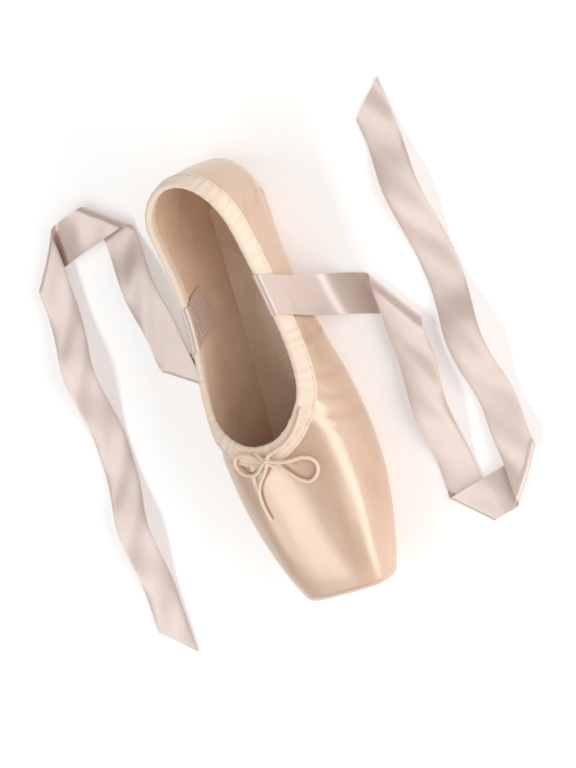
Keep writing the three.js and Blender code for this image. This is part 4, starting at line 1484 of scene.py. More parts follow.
OUT_OF_TAPE_LEFT: Rows = ((-6.4, 88.6, 1.0), (-4.2, 86.6, 2.3), (-1.9, 84.2, 3.4))
OUT_OF_TAPE_RIGHT: Rows = ((6.2, 88.2, 0.9), (4.4, 86.2, 2.2), (2.0, 83.8, 3.4))
THROUGH_TO_LEFT: Rows = ((0.6, 80.4, 3.7),)
THROUGH_TO_RIGHT: Rows = ((-1.0, 81.9, 3.7), (1.0, 81.9, 3.7))


@dataclass(frozen=True)
class Drawstring:
    """A thin braided cord that comes out of the tape at the throat and is tied in a bow."""

    diameter: float = 2.0
    sides: int = 20
    spacing: float = 0.3
    strands: int = 4
    braid_pitch: float = 4.2
    braid_depth: float = 0.1
    braid_peak: float = 1.6
    knot_half: Triple = (2.9, 2.3, 2.0)
    knot_place: Triple = (0.0, 81.5, 3.7)
    knot_cord: float = 0.82
    knot_steps: int = 150

    def braided(self, path: Array, radius: float, closed: bool = False) -> Surface:
        """A braided tube: where strands that wind both ways cross, the radius swells.

        Args:
            path: its middle line, in mm.
            radius: its mean radius, in mm.
            closed: the path's end joins its start.

        Returns:
            The tube.
        """
        far = lengths(path)[:, None]
        turn = np.arange(self.sides)[None, :] * math.tau / self.sides
        wind = far * math.tau / self.braid_pitch
        crossing = np.sin(self.strands / 2 * (turn + wind)) * np.sin(self.strands / 2 * (turn - wind))
        swell = self.braid_depth * (self.braid_peak * np.abs(crossing) - 1)
        return tube(path, radius * (1 + swell), self.sides, closed)

    def strand(self, name: str, routes: tuple[Rows, ...], knot: Piece, *replaced: str) -> None:
        """One half of the cord: out of the tape, round its loop, through the knot and to its end.

        Args:
            name: of the piece.
            routes: the routes out of the tape, round the loop, through the knot and along the loose end.
            knot: the piece that ties it; not used.
            replaced: the solids that it stands for.
        """
        path = smooth_path(LAST.on_vamp(sum(routes, ())), self.spacing)
        piece = place(self.braided(path, self.diameter / 2).piece(name, CORD), Slot.STRING, *replaced)

    def knot(self) -> Piece:
        """The knot: the cord wound three times through itself. Its middle line goes twice round a ring that
        it rises and sinks through three times, as in an overhand knot.

        Returns:
            The piece.
        """
        turn = np.linspace(0, math.tau, self.knot_steps, endpoint=False)
        half = np.array(self.knot_half) - self.knot_cord
        ring = (2 + np.cos(3 * turn)) / 3
        line = np.stack([ring * np.cos(2 * turn), ring * np.sin(2 * turn), np.sin(3 * turn)], axis=1) * half
        middle = LAST.on_vamp((self.knot_place,))[0]
        surface = self.braided(line + middle, self.knot_cord, closed=True)
        return place(surface.piece("drawstring_tie", CORD), Slot.STRING, "drawstring_knot")

    def build(self) -> None:
        """Makes the knot and both strands."""
        knot = self.knot()
        left = (OUT_OF_TAPE_RIGHT, LOOP_LEFT, THROUGH_TO_RIGHT, END_RIGHT)
        right = (OUT_OF_TAPE_LEFT, LOOP_RIGHT, THROUGH_TO_LEFT, END_LEFT)
        self.strand("drawstring_left", left, knot, "drawstring_loop_left", "drawstring_end_right")
        self.strand("drawstring_right", right, knot, "drawstring_loop_right", "drawstring_end_left")


# The upper and its lining


@dataclass(frozen=True)
class Upper:
    """The satin upper and the cotton lining, one shell within the other, open at the collar and below."""

    relief: Relief
    platform_rows: int = 12
    edge_rows: int = 8
    box_rows: int = 82
    quarter_rows: int = 104
    girth_steps: int = 96
    front_share: int = 3
    past_opening: float = 0.25
    satin: float = 0.55
    lining_gap: float = 0.05
    lining_girth: int = 56
    lining_every: int = 2
    quarters_from: float = 2.93
    box_below: float = 40.0
    full_shade_at: float = 0.9

    def rows(self) -> tuple[Array, Array]:
        """The rows of points from the platform to the heel, with one just where the opening below starts.

        Returns:
            Row numbers, and the angle of each one's upper edge.
        """
        opening = OUTSOLE_ROWS[0][0] + LAST.opening_inset
        before = self.box_rows // self.front_share
        front = np.linspace(LAST.platform_edge, opening, before, endpoint=False)
        rest = self.box_rows - before
        behind = np.linspace(opening + self.past_opening, LAST.throat_at, rest, endpoint=False)
        closed = np.concatenate([
            np.linspace(0, 1, self.platform_rows, endpoint=False),
            np.linspace(1, 2, self.edge_rows, endpoint=False),
            LAST.row_at(np.concatenate([front, [opening], behind])),
        ])
        row, angle = LAST.collar(np.linspace(0, 1, self.quarter_rows + 1))
        return np.concatenate([closed, row]), np.concatenate([np.full(len(closed), CROWN), angle])

    def half(self, side: int, steps: int, every: int, puckered: bool) -> tuple[Array, Array, Array, Array]:
        """Rows, angles, relief and cloth places of one half, as grids.

        Args:
            side: which half.
            steps: stretches from the lower edge to the upper one.
            every: 1 takes each row, 2 every second one.
            puckered: with the puckers beside the tape.

        Returns:
            The row numbers, the angles, the relief in mm, and the places on the cloth in mm.
        """
        row, upper = self.rows()
        keep = np.unique(np.r_[np.arange(0, len(row), every), len(row) - 1])
        row, upper = row[keep], upper[keep]
        angle = LAST.angles(row, LAST.lower_edge(row), upper, steps)
        row = np.broadcast_to(row[:, None], angle.shape)
        points = LAST.point(row, angle)
        round_shoe = lengths(points)
        below = round_shoe[:, -1:] - round_shoe
        in_quarters = smooth(self.quarters_from, 3.0, row)
        throat = np.linalg.norm(points - LAST.point(3.0, CROWN), axis=-1)
        in_box = throat + self.box_below * (1 - in_quarters)
        below = np.where(row >= 3.0, np.minimum(below, throat), in_box)
        relief = self.relief.height(row, angle, side, below, puckered)
        cloth = np.stack([(round_shoe - round_shoe[:, -1:]) * side, points[..., 1]], axis=-1)
        return row, angle, relief, cloth

    def shell(self, steps: int, every: int, outer: float, inner: float | None) -> Surface:
        """A closed shell between two depths, joined along both edges.

        Args:
            steps: stretches from the lower edge to the upper one.
            every: which rows are taken.
            outer: the outer face's depth under the satin's face, in mm.
            inner: the inner face's depth, or None for the upper's whole wall.

        Returns:
            The shell.
        """
        halves = []
        for side in SIDES:
            row, angle, relief, cloth = self.half(side, steps, every, inner is not None)
            point, normal = LAST.point(row, angle), LAST.normal(row, angle)
            inside = relief * LAST.thinned(row) - LAST.wall(row) if inner is None else relief - inner
            high = sided(point + normal * (relief - outer)[..., None], side)
            low = sided(point + normal * inside[..., None], side)
            for face in (high, low):
                # This corner lies in the middle plane and would fold its face flat.
                face[-1, 0] = face[-2, 0]
            # How deep each point lies in a crease, which the satin paints as shade.
            shade = np.clip(-relief / self.full_shade_at, 0, 1)
            halves.append(layer(high, low, cloth, shade, ends=False))
        return reduce(Surface.joined, halves).without_twins()

    def build(self) -> None:
        """Makes the satin and the lining."""
        satin = self.shell(self.girth_steps, 1, 0.0, self.satin)
        place(satin.piece("satin_upper", SATIN), Slot.SATIN, "upper")
        lining = self.shell(self.lining_girth, self.lining_every, self.satin + self.lining_gap, None)
        place(lining.piece("cotton_lining", LINING), Slot.LINING)


@dataclass(frozen=True)
class Seams:
    """The sewn seams of the satin: one on each side, where the vamp joins the quarter, and one up the back
    of the heel. Each is a narrow pair of lips with a groove between them."""

    relief: Relief
    half_width: float = 1.5
    lip: float = 0.26
    groove: float = 0.30
    sunk: float = 0.1
    rooted: float = 0.45
    steps: int = 90
    columns: int = 13
    groove_share: float = 0.16
    groove_shade: float = 0.9
    below_tape: float = 30.0
    side_way: Rows = ((128.0, 27.0), (131.0, 10.0), (136.0, -14.0), (141.0, -46.0))
    back_way: Pair = (28.0, -50.0)
    back_rows: Pair = (3.75, 4.0)
    back_samples: int = 120

    def strip(self, row: Array, angle: Array, side: int | Array) -> Surface:
        """A seam over a grid of places. Its height across is the root of a cosine less a narrow bell.

        Args:
            row: row numbers, of shape (steps, columns).
            angle: angles up the section.
            side: which half they lie on, or each place's half.

        Returns:
            The seam, with its underside within the satin.
        """
        u = np.linspace(-1, 1, self.columns)[None, :]
        height = self.relief.height(row, angle, side, np.full(row.shape, self.below_tape), False)
        lips = self.lip * np.sqrt(np.clip(np.cos(u * math.pi / 2), 0, 1))
        groove = np.broadcast_to(np.exp(-((u / self.groove_share) ** 2)), row.shape)
        outside = height + lips - self.sunk - self.groove * groove
        high = sided(LAST.raised(row, angle, outside), side)
        low = sided(LAST.raised(row, angle, height - self.rooted), side)
        # The groove's value, which the satin paints as shade.
        return layer(high, low, shade=self.groove_shade * groove)

    def build(self) -> None:
        """Makes the three seams as one piece."""
        across = np.linspace(-1, 1, self.columns)[None, :] * self.half_width
        distance, angle = way_through(self.side_way, np.linspace(0, 1, self.steps))
        row, angle = np.broadcast_arrays(LAST.row_at(distance[:, None] + across), angle[:, None])
        made = self.strip(row, angle, 1).joined(self.strip(row, angle, -1))
        angle = np.radians(np.linspace(*self.back_way, self.steps))[:, None]
        rows = np.linspace(*self.back_rows, self.back_samples)
        out = LAST.point(rows[None, :], angle)[..., 0]
        row = np.array([np.interp(np.abs(across[0]), x[::-1], rows[::-1]) for x in out])
        side = np.broadcast_to(np.where(across < 0, -1, 1), row.shape)
        back = self.strip(row, np.broadcast_to(angle, row.shape), side)
        place(made.joined(back).piece("satin_seams", SATIN), Slot.SATIN)


# The tape round the collar


@dataclass(frozen=True)
class Collar:
    """The folded tape that binds the collar, gathered a little by the cord inside it, and its stitches."""

    thickness: float = 0.9
    outside: float = 8.7
    inside: float = 6.0
    steps: int = 330
    leg_steps: int = 12
    bead_steps: int = 12
    fold_steps: int = 4
    home_steps: int = 4
    calm_over: float = 10.0
    # The gathers: height, wave length, and their share on the leg, in its middle, on the bead and inside.
    gather: float = 0.26
    gather_length: float = 5.5
    gather_on_leg: float = 0.4
    gather_in_middle: float = 0.9
    gather_on_bead: float = 0.28
    gather_inside: float = 0.6
    fine_share: float = 0.35
    fine_length: float = 2.6
    # The hem: how far it wanders, over what length, and its raised edge.
    hem_wander: float = 0.16
    hem_length: float = 11.0
    hem_height: float = 0.22
    hem_in: float = 0.5
    hem_width: float = 0.4
    scallop: float = 0.5
    scallop_length: float = 6.0
    seeds: tuple[int, int, int, int] = (11, 21, 31, 41)
    seam_depth: float = 0.30
    seam_width: float = 0.45
    eased: float = 0.095
    stitch: Stitch = Stitch(length=1.7, radius=0.16)
    stitch_every: float = 2.5
    stitch_at: float = 1.4
    stitch_sunk: float = 0.12
    stitched: Pair = (0.006, 0.994)
    stitch_samples: int = 900

    def below(self, share: Array, below: Array) -> tuple[Array, Array]:
        """Row numbers and angles at distances below the collar's edge, eased along it, because the tape is
        cut on the bias and doesn't turn corners.

        Args:
            share: shares of the collar's way, of shape (count,).
            below: distances, of shape (count, places).

        Returns:
            The row numbers and the angles.
        """
        row, angle, out, _ = LAST.below_collar(share[:, None], below)
        ease = max(int(self.eased / (share[1] - share[0])), 1)
        mirrored = sided(out, -1)
        whole = np.concatenate([mirrored[ease:0:-1], out, mirrored[-2 : -2 - ease : -1]])
        way = unit(softened(whole, ease)[ease:-ease]) * below[..., None]
        return LAST.nearest(LAST.point(*LAST.collar(share))[:, None] - way, row, angle)

    def ring(self, share: Array, side: int) -> Array:
        """The tape's section at shares of one side of the collar: down its outer leg, round the bead, down
        its inner leg and back through the fold.

        Args:
            share: shares of the collar's way, of shape (count,).
            side: which side.

        Returns:
            Points of shape (count, ring, 3), in mm.
        """
        row, angle = LAST.collar(share)
        wall = LAST.wall(row)[:, None]
        gap, cover = LAST.gap, LAST.gap + self.thickness
        edge = LAST.point(row, angle)
        far = lengths(edge)[:, None]
        calm = smooth(0.0, self.calm_over, far) * smooth(0.0, self.calm_over, far[-1] - far)
        legs = np.linspace(1, 0, self.leg_steps, endpoint=False)[None, :]
        waves = (self.hem_length, self.scallop_length, self.gather_length, self.fine_length)
        drawn = (ripple(far, seed + side, wave) for seed, wave in zip(self.seeds, waves))
        wander, scallop, gather, fine = drawn
        width = self.outside + self.hem_wander * wander * calm
        under = self.inside + self.scallop * scallop * calm

        def laid(below: Array, height: Array) -> Array:
            """Points below the edge at a height over the satin."""
            r, a = self.below(share, below)
            return LAST.raised(r, a, np.broadcast_to(height, r.shape))

        def bell(inward: float, breadth: float) -> Array:
            """A bell along the hem, a distance in from it."""
            return np.exp(-(((legs * width) - (width - inward)) / breadth) ** 2)

        _, _, out, normal = LAST.below_collar(share, np.zeros_like(share))
        wave = self.gather * gather * calm
        fine = self.fine_share * self.gather * fine * calm
        seam = -self.seam_depth * bell(self.stitch_at, self.seam_width)
        hem = self.hem_height * bell(self.hem_in, self.hem_width)
        leg_share = self.gather_on_leg + self.gather_in_middle * legs * (1 - legs) * 4
        outer = laid(legs * width, cover + (wave * leg_share + fine * (1 - legs)) + seam + hem)
        turn = np.linspace(0, math.pi, self.bead_steps + 1)[None, :]
        swell = 1 + (wave + fine) * self.gather_on_bead
        radius = (wall / 2 + cover) * swell
        across, upward = -wall / 2 + radius * np.cos(turn), radius * np.sin(turn)
        bead = edge[:, None] + normal[:, None] * across[..., None] + out[:, None] * upward[..., None]
        down = np.linspace(0, 1, self.leg_steps + 1)[None, 1:]
        inner = laid(down * under, -wall - cover - self.gather_inside * wave * down)
        up = np.linspace(1, 0, self.fold_steps)[None, :-1]
        back = laid(up * under, -wall - gap)
        heights = (-wall - gap, gap)
        crown = np.stack([edge + normal * height + out * gap for height in heights], axis=1)
        home = laid(np.linspace(0, 1, self.home_steps + 1)[None, 1:] * width, np.full((1, 1), gap))
        return sided(np.concatenate([outer, bead, inner, back, crown, home], axis=1), side)

    def build(self) -> None:
        """Makes the tape and its row of stitches."""
        share = np.linspace(0, 1, self.steps)
        right, left = self.ring(share, 1), self.ring(share, -1)
        for ring in (right, left):
            ring[[0, -1], :, 0] = 0.0
        rings = np.concatenate([right, left[-2:0:-1]])
        far = lengths(rings[:, self.leg_steps + self.bead_steps // 2])
        round_tape = lengths(rings)
        cloth = np.stack([np.broadcast_to(far[:, None], round_tape.shape), round_tape], axis=-1)
        tape = Surface.grid(rings, cloth, wrap_rows=True, wrap_columns=True)
        place(tape.piece("collar_tape", TAPE), Slot.TAPE, "collar_binding")
        self.stitches()

    def stitches(self) -> None:
        """The stitches along the tape's outer edge, in its seam."""
        share = np.linspace(*self.stitched, self.stitch_samples)
        row, angle = self.below(share, np.full((len(share), 1), self.outside - self.stitch_at))
        row, angle = row[:, 0], angle[:, 0]
        height = LAST.gap + self.thickness - self.stitch_sunk
        line = LAST.raised(row, angle, np.full_like(share, height))
        far = lengths(line)
        at = np.arange(self.stitch_every / 2, far[-1], self.stitch_every)
        lines = (line, np.gradient(line, axis=0), LAST.normal(row, angle))
        rows = (self.stitch.sewn(*(sided(picked(v, far, at), side) for v in lines)) for side in SIDES)
        place(reduce(Surface.joined, rows).piece("tape_stitches", THREAD, weld=THREAD_WELD), Slot.TAPE)


# The plates under and in the shoe


@dataclass(frozen=True)
class Sole:
    """The suede outsole and the cloth-covered insole."""

    rows: int = 150
    columns: int = 30
    straightening: int = 12
    flat_share: float = 0.55
    edge_curl: float = 0.9
    pressed_flat: float = 0.3
    rim: float = 0.8
    rim_share: float = 0.05
    groove_at: float = 0.86
    groove_width: float = 0.02
    groove_depth: float = 0.3
    groove_starts: Pair = (2.0, 6.0)
    insole_thickness: float = 1.6
    insole_seat: float = 0.6
    insole_rim: float = 0.5
    insole_rim_share: float = 0.06

    def plate(self, outline: Rows, faces: Faces) -> Surface:
        """A closed plate in a rounded outline.

        Args:
            outline: distances and half widths.
            faces: works out the two faces from the row, the half width and the share across.

        Returns:
            The plate.
        """
        share = (1 - np.cos(np.linspace(0, math.pi, self.rows + 1))) / 2
        distance, half = LAST.plate_half(outline, share)
        across = np.sin(np.linspace(-math.pi / 2, math.pi / 2, 2 * self.columns + 1))[None, :]
        distance, across = np.broadcast_arrays(distance[:, None], across)
        half = half[:, None] * np.abs(across)
        row = self.straight(distance, half)
        high, low = faces(row, half, np.abs(across))
        side = np.where(across < 0, -1, 1)
        return layer(sided(high, side), sided(low, side), ends=False)

    def straight(self, distance: Array, half: Array) -> Array:
        """Row numbers that lay each line across a plate straight, although the heel leans over less where
        it is higher: what a point lies off its line along Y is taken from its distance, over and over.

        Args:
            distance: each point's distance from the platform on the middle line.
            half: its half width.

        Returns:
            The row numbers.
        """
        line = LAST.point(LAST.row_at(distance), -CROWN)[..., 1]
        moved = distance
        for _ in range(self.straightening):
            row = LAST.row_at(moved)
            off = line - LAST.point(row, LAST.angle_under(row, half))[..., 1]
            moved = np.clip(moved + off, 0, LAST.length)
        return LAST.row_at(moved)

    def rounded(self, across: Array, share: float) -> Array:
        """A quarter circle over the outer share of the way across: 0 where it starts and 1 at the rim."""
        into_rim = np.clip((across - 1 + share) / share, 0, 1)
        return 1 - np.sqrt(1 - into_rim**2)

    def outsole_faces(self, row: Array, half: Array, across: Array) -> tuple[Array, Array]:
        """The outsole's faces: on the satin above, and below flat under the ball and heel, lifted at the
        toe and waist, with a rounded rim and a shallow groove beside it.

        Args:
            row: each point's row number.
            half: its half width, in mm.
            across: its share of the way to the rim.

        Returns:
            The upper and the lower face.
        """
        over = LAST.raised(row, LAST.angle_under(row, half), np.full_like(half, LAST.gap))
        table = np.array(LAST_ROWS)
        lift = curve_through(table[:, 0], table[:, 2], LAST.sections(row).distance / LAST.length)
        floor = np.maximum(lift - self.pressed_flat, 0)
        floor = floor + self.edge_curl * smooth(self.flat_share, 1, across) ** 2
        floor = floor + self.rim * self.rounded(across, self.rim_share)
        groove = np.exp(-(((across - self.groove_at) / self.groove_width) ** 2))
        floor = floor + self.groove_depth * (groove * smooth(*self.groove_starts, half))
        return over, np.stack([over[..., 0], over[..., 1], floor], axis=-1)

    def insole_faces(self, row: Array, half: Array, across: Array) -> tuple[Array, Array]:
        """The insole's faces, a seat and a thickness above the upper's inside, with a soft rounded edge.

        Args:
            row: each point's row number.
            half: its half width, in mm.
            across: its share of the way to the rim.

        Returns:
            The upper and the lower face.
        """
        angle = LAST.angle_under(row, half)
        depth = LAST.wall(row) + self.insole_seat
        soft = self.insole_rim * self.rounded(across, self.insole_rim_share)
        over = LAST.raised(row, angle, -depth - self.insole_thickness + soft)
        return over, LAST.raised(row, angle, -depth)

    def build(self) -> None:
        """Makes both plates."""
        outsole = self.plate(OUTSOLE_ROWS, self.outsole_faces)
        place(outsole.piece("suede_outsole", SOLE_LEATHER), Slot.LEATHER, "outsole")
        insole = self.plate(INSOLE_ROWS, self.insole_faces)
        place(insole.piece("cloth_insole", INSOLE_CLOTH), Slot.LINING, "insole")


# The ribbons


@dataclass(frozen=True)
class Fold:
    """A soft fold: its place along the ribbon, its turn in degrees and its radius."""

    at: float
    turn: float
    radius: float


@dataclass(frozen=True)
class Wave:
    """A rise from the floor: its place along the ribbon, its length and its height."""

    at: float
    length: float
    height: float


@dataclass(frozen=True)
class Ribbon:
    """A satin ribbon, sewn inside a quarter, over the tape and down to the floor, where it lies folded."""

    name: str
    side: int
    folds: tuple[Fold, ...]
    waves: tuple[Wave, ...]
    at: float
    slant: float
    lands: float
    seed: int
    width: float = 22.0
    thickness: float = 0.5
    length: float = 490.0
    sewn: float = 27.0
    clear: float = 0.4
    cut: float = 0.7
    cut_over: float = 30.0
    rows: int = 560
    columns: int = 22
    # Places below the collar's edge along the lining and the satin, and where the tape's hem is climbed.
    up_lining: tuple[float, ...] = (30.0, 27.0, 24.0, 21.0, 18.0, 15.0, 13.0, 11.0, 9.5, 8.0, 6.5, 4.5)
    over_hem_inside: Pair = (4.5, 11.0)
    bead_steps: int = 17
    down_satin: tuple[float, ...] = (4.5, 6.5, 9.0, 10.5, 12.0, 14.0)
    over_hem_outside: Pair = (9.0, 14.0)
    off_satin: float = 0.5
    follows: float = 1.9
    follow_samples: int = 400
    # The fall's two middle poles: how far aside each lies, and the share of the height the first keeps.
    leaves: Pair = (2.0, 0.45)
    meets: float = 4.0
    fall_samples: int = 80
    # The table of the shoe's sections: from how far in front of the ribbon to how far behind it.
    sections: Pair = (-45.0, 15.0)
    out_from: float = -34.0
    out_samples: int = 420
    # How far past a fold the ribbon settles on the floor, and round its landing it loosens.
    settles_from: float = 18.0
    settles_to: float = 56.0
    loosens: Pair = (-6.0, 25.0)
    curl: float = 0.5
    curl_length: float = 60.0
    flutter: float = 0.55
    flutter_length: float = 34.0
    flutter_slant: float = 1.4
    highest: float = 2.0
    selvedge: Pair = (0.6, 1.2)
    selvedge_height: float = 0.1
    stitch: Stitch = Stitch(length=1.8, radius=0.17)
    stitch_every: float = 2.4
    stitch_out: float = 0.03
    ahead: float = 0.3
    patch: Rows = ((3.0, -9.0), (20.0, -9.0), (20.0, 9.0), (3.0, 9.0), (3.0, -9.0))

    def way(self, distance: float) -> tuple[Array, Array]:
        """The ribbon's line in the shoe's section: up the lining, round the bead and down the satin.

        Args:
            distance: from the platform, in mm.

        Returns:
            Points of x and z, and each one's length from the top of the bead.
        """
        share = LAST.collar_share(distance)
        row, angle = LAST.collar(share)
        wall = float(LAST.wall(row))
        clear, tape = self.clear + self.thickness / 2, LAST.gap + Collar.thickness

        def follow(places: tuple[float, ...], reach: Pair, heights: Array) -> Array:
            """Points below the edge in this section, at heights that change over a reach."""
            angles = np.linspace(angle, angle - self.follows, self.follow_samples)
            at = np.interp(places, lengths(LAST.point(row, angles)), angles)
            return LAST.raised(row, at, np.interp(places, reach, heights))

        _, _, out, normal = LAST.below_collar(np.array([share]), np.zeros(1))
        radius = wall / 2 + tape + clear
        middle = LAST.point(row, angle) - normal[0] * wall / 2
        turn = np.linspace(math.pi, 0, self.bead_steps)[:, None]
        bead = middle + normal[0] * radius * np.cos(turn) + out[0] * radius * np.sin(turn)
        lined = (-wall - tape - clear, -wall - LAST.gap - clear)
        inside = follow(self.up_lining, self.over_hem_inside, lined)
        outside = follow(self.down_satin, self.over_hem_outside, (tape + clear, clear + self.off_satin))
        line = np.concatenate([inside, bead, outside])[:, [0, 2]]
        far = lengths(line)
        return line, far - far[len(inside) + self.bead_steps // 2]

    def fall(self, start: Array) -> tuple[Array, Array]:
        """The free fall from the shoe to the floor, a cubic curve.

        Args:
            start: x and z where it leaves the shoe.

        Returns:
            Points of x and z, and each one's length along the curve.
        """
        (x, z), floor = start, LAST.gap + self.thickness / 2
        aside, drop = self.leaves
        poles = np.array([start, [x + aside, z * drop], [x + self.meets, floor], [self.lands, floor]])
        t = np.linspace(0, 1, self.fall_samples)[:, None]
        weights = ((1 - t) ** 3, 3 * t * (1 - t) ** 2, 3 * t * t * (1 - t), t**3)
        line = sum(weight * pole for weight, pole in zip(weights, poles))
        return line, lengths(line)

    def reach(self) -> float:
        """How far the ribbon has come from the top of the bead where it meets the floor."""
        line, far = self.way(self.at - self.sewn * math.sin(math.radians(self.slant)))
        return float(far[-1] + self.fall(line[-1])[1][-1])

    def folded(self, along: Array, across: Array, station: Array) -> tuple[Array, Array, Array]:
        """Places of the flat ribbon after its folds and waves.

        A fold bends the ribbon round half a circle over itself, and what follows lies mirrored; the last
        fold is done first. A wave rises as the square of a half sine.

        Args:
            along: places along the ribbon.
            across: places across it.
            station: the straight line across the ribbon that each point belongs to.

        Returns:
            The places along and across the ribbon as sewn, and the heights.
        """
        a, b, h = along.copy(), across.copy(), np.zeros_like(along)
        for n in reversed(range(len(self.folds))):
            fold = self.folds[n]
            sense = 1 if n % 2 == 0 else -1
            crease = math.radians(fold.turn / 2) * sense
            direction = crease - math.copysign(math.pi / 2, crease)
            ma, mb = math.cos(direction), math.sin(direction)
            band = math.pi * fold.radius
            past = (along - fold.at) * ma + across * mb + band / 2
            q = (a - fold.at) * ma + b * mb + band / 2
            bent = past < band
            now = np.where(bent, fold.radius * np.sin(q / fold.radius), band - q)
            turned = sense * fold.radius * (1 - np.cos(q / fold.radius))
            lift = np.where(bent, turned, sense * 2 * fold.radius - h)
            changed = past > 0
            a = np.where(changed, a + (now - q) * ma, a)
            b = np.where(changed, b + (now - q) * mb, b)
            h = np.where(changed, lift, h)
        for fold in self.folds:
            settled = smooth(fold.at + self.settles_from, fold.at + self.settles_to, station)
            h = h - 2 * fold.radius * settled
        for wave in self.waves:
            passed = np.clip((station - wave.at) / wave.length + 0.5, 0, 1)
            h = h + wave.height * np.sin(math.pi * passed) ** 2
        return a, b, h

    def draped(self, back: Array, out: Array, reach: float) -> tuple[Array, Array]:
        """Where places lie in space: in the shoe's sections, read between their nearest four entries in a
        table of sections and lengths, and on the floor beyond.

        Args:
            back: how far behind the ribbon's own section each place lies, in mm.
            out: how far outward it lies from the top of the bead, along the ribbon.
            reach: where the floor begins, along the ribbon.

        Returns:
            Each place's x and z.
        """
        low, high = self.sections
        outs = np.linspace(self.out_from, reach, self.out_samples)
        tables = np.empty((2, round(high - low) + 1, len(outs)))
        for k in range(tables.shape[1]):
            line, far = self.way(self.at + low + k)
            curve, curve_far = self.fall(line[-1])
            curve_far = far[-1] + curve_far / curve_far[-1] * (reach - far[-1])
            whole, whole_far = np.concatenate([line, curve[1:]]), np.r_[far, curve_far[1:]]
            tables[:, k] = picked(whole, whole_far, outs).T
        i = np.clip(back - low, 0, high - low - JUST_INSIDE)
        j = np.clip((out - outs[0]) / (outs[1] - outs[0]), 0, len(outs) - 1 - JUST_INSIDE)
        i0, j0 = i.astype(int), j.astype(int)
        fi, fj = i - i0, j - j0

        def between(table: Array) -> Array:
            """The table's value between its four nearest entries."""
            near = table[i0, j0] * (1 - fj) + table[i0, j0 + 1] * fj
            far = table[i0 + 1, j0] * (1 - fj) + table[i0 + 1, j0 + 1] * fj
            return near * (1 - fi) + far * fi

        x = np.where(out < reach, between(tables[0]), self.lands + out - reach)
        return x, np.where(out < reach, between(tables[1]), LAST.gap + self.thickness / 2)

    def middle(self) -> tuple[Array, Array, Array]:
        """The ribbon's middle layer.

        Returns:
            Points of shape (rows, columns, 3), and each one's places along and across the flat ribbon.
        """
        reach = self.reach()
        share = np.linspace(0, 1, self.rows)[:, None]
        across = np.linspace(-0.5, 0.5, self.columns) * self.width
        across = np.broadcast_to(across, (self.rows, self.columns))
        station = np.broadcast_to(share * self.length, across.shape)
        along = station + smooth(self.length - self.cut_over, self.length, station) * self.cut * across
        a, b, h = self.folded(along, across, station)
        slant = math.radians(self.slant)
        out = -self.sewn + a * math.cos(slant) + b * math.sin(slant)
        back = -a * math.sin(slant) + b * math.cos(slant)
        x, z = self.draped(back, out, reach)
        loose = smooth(reach + self.loosens[0], reach + self.loosens[1], out)
        slanted = along + self.flutter_slant * across
        lively = self.flutter * (1 + ripple(slanted, self.seed, self.flutter_length)) / 2
        edge = self.curl * (np.abs(across) / (self.width / 2)) ** 3
        edge = edge * (0.5 + 0.5 * ripple(along, self.seed + 1, self.curl_length))
        lift = loose * np.clip(lively + edge, 0, self.highest)
        points = np.stack([self.side * x, self.at + back - LAST.ball_at, z + h + lift], axis=-1)
        return points, along, across

    def build(self) -> None:
        """Makes the ribbon and its stitches."""
        points, along, across = self.middle()
        normal = unit(np.cross(np.gradient(points, axis=0), np.gradient(points, axis=1))) * self.side
        near_edge = self.width / 2 - np.abs(across)
        selvedge = 1 - smooth(*self.selvedge, near_edge)
        half = self.thickness / 2 + self.selvedge_height * selvedge
        cloth = np.stack([across, along], axis=-1)
        high, low = points + normal * half[..., None], points - normal * half[..., None]
        ribbon = layer(high, low, cloth)
        piece = place(ribbon.piece(f"satin_{self.name}", RIBBON_SATIN), Slot.RIBBON, self.name)
        stitches = self.stitches(points, normal)

    def stitches(self, points: Array, normal: Array) -> Piece:
        """The square of stitches that holds the ribbon to the lining, on the ribbon's inner face.

        Args:
            points: the ribbon's middle layer.
            normal: its normals.

        Returns:
            The piece.
        """
        corners = np.array(self.patch)
        far = lengths(corners)
        at = np.arange(self.stitch_every / 2, far[-1], self.stitch_every)
        spots = picked(corners, far, at)
        step = picked(corners, far, at + self.ahead) - spots
        i = spots[:, 0] / self.length * (self.rows - 1)
        j = (spots[:, 1] / self.width + 0.5) * (self.columns - 1)
        i, j = np.round(i).astype(int), np.round(j).astype(int)
        lengthwise, crosswise = np.gradient(points, axis=0)[i, j], np.gradient(points, axis=1)[i, j]
        direction = unit(lengthwise) * step[:, :1] + unit(crosswise) * step[:, 1:]
        outward = -normal[i, j] * self.side
        outward = np.where((outward[:, :1] * -self.side) < 0, -outward, outward)
        middle = points[i, j] + outward * (self.thickness / 2 + self.stitch_out)
        surface = self.stitch.sewn(middle, direction, outward)
        return place(surface.piece(f"{self.name}_stitches", THREAD, weld=THREAD_WELD), Slot.RIBBON)


FOLDS_RIGHT = (Fold(114, -75, 2.6), Fold(234, 104, 2.4), Fold(278, 82, 2.7))
FOLDS_LEFT = (Fold(110, 103, 2.5), Fold(212, -95, 2.6), Fold(262, -76, 2.4))
WAVES_RIGHT = (Wave(174, 70, 7), Wave(352, 80, 9), Wave(438, 70, 5))
WAVES_LEFT = (Wave(166, 66, 6), Wave(330, 84, 9), Wave(424, 76, 7))
RIBBONS = (
    Ribbon("ribbon_right", 1, FOLDS_RIGHT, WAVES_RIGHT, at=172, slant=16, lands=57, seed=61),
    Ribbon("ribbon_left", -1, FOLDS_LEFT, WAVES_LEFT, at=168, slant=20, lands=58, seed=71),
)


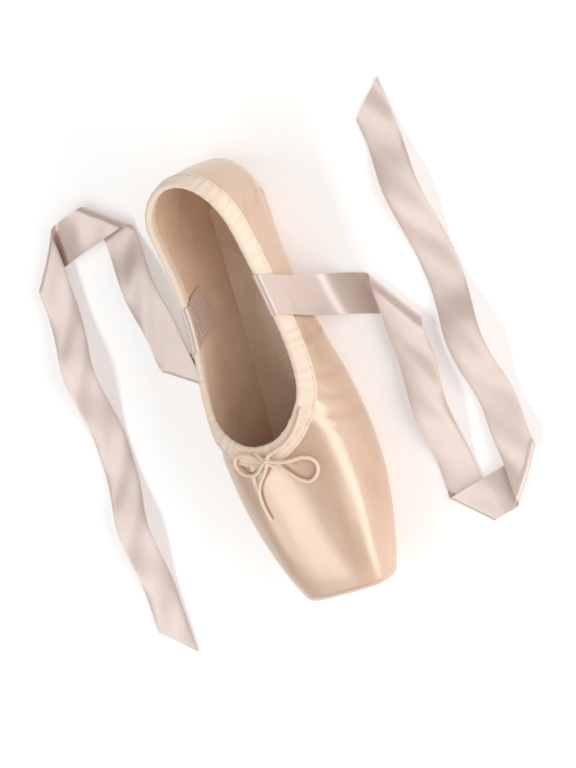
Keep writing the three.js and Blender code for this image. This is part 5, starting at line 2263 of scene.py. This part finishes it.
def main() -> None:
    """Builds the whole scene, camera and cords first."""
    logging.basicConfig(level=logging.INFO, format="%(name)s %(message)s")
    studio = Studio()
    studio.camera()
    Drawstring().build()
    studio.floor()
    studio.lights()
    studio.tones()
    Upper(Relief()).build()
    Seams(Relief()).build()
    Collar().build()
    Sole().build()
    for ribbon in RIBBONS:
        ribbon.build()


if __name__ == "__main__":
    main()
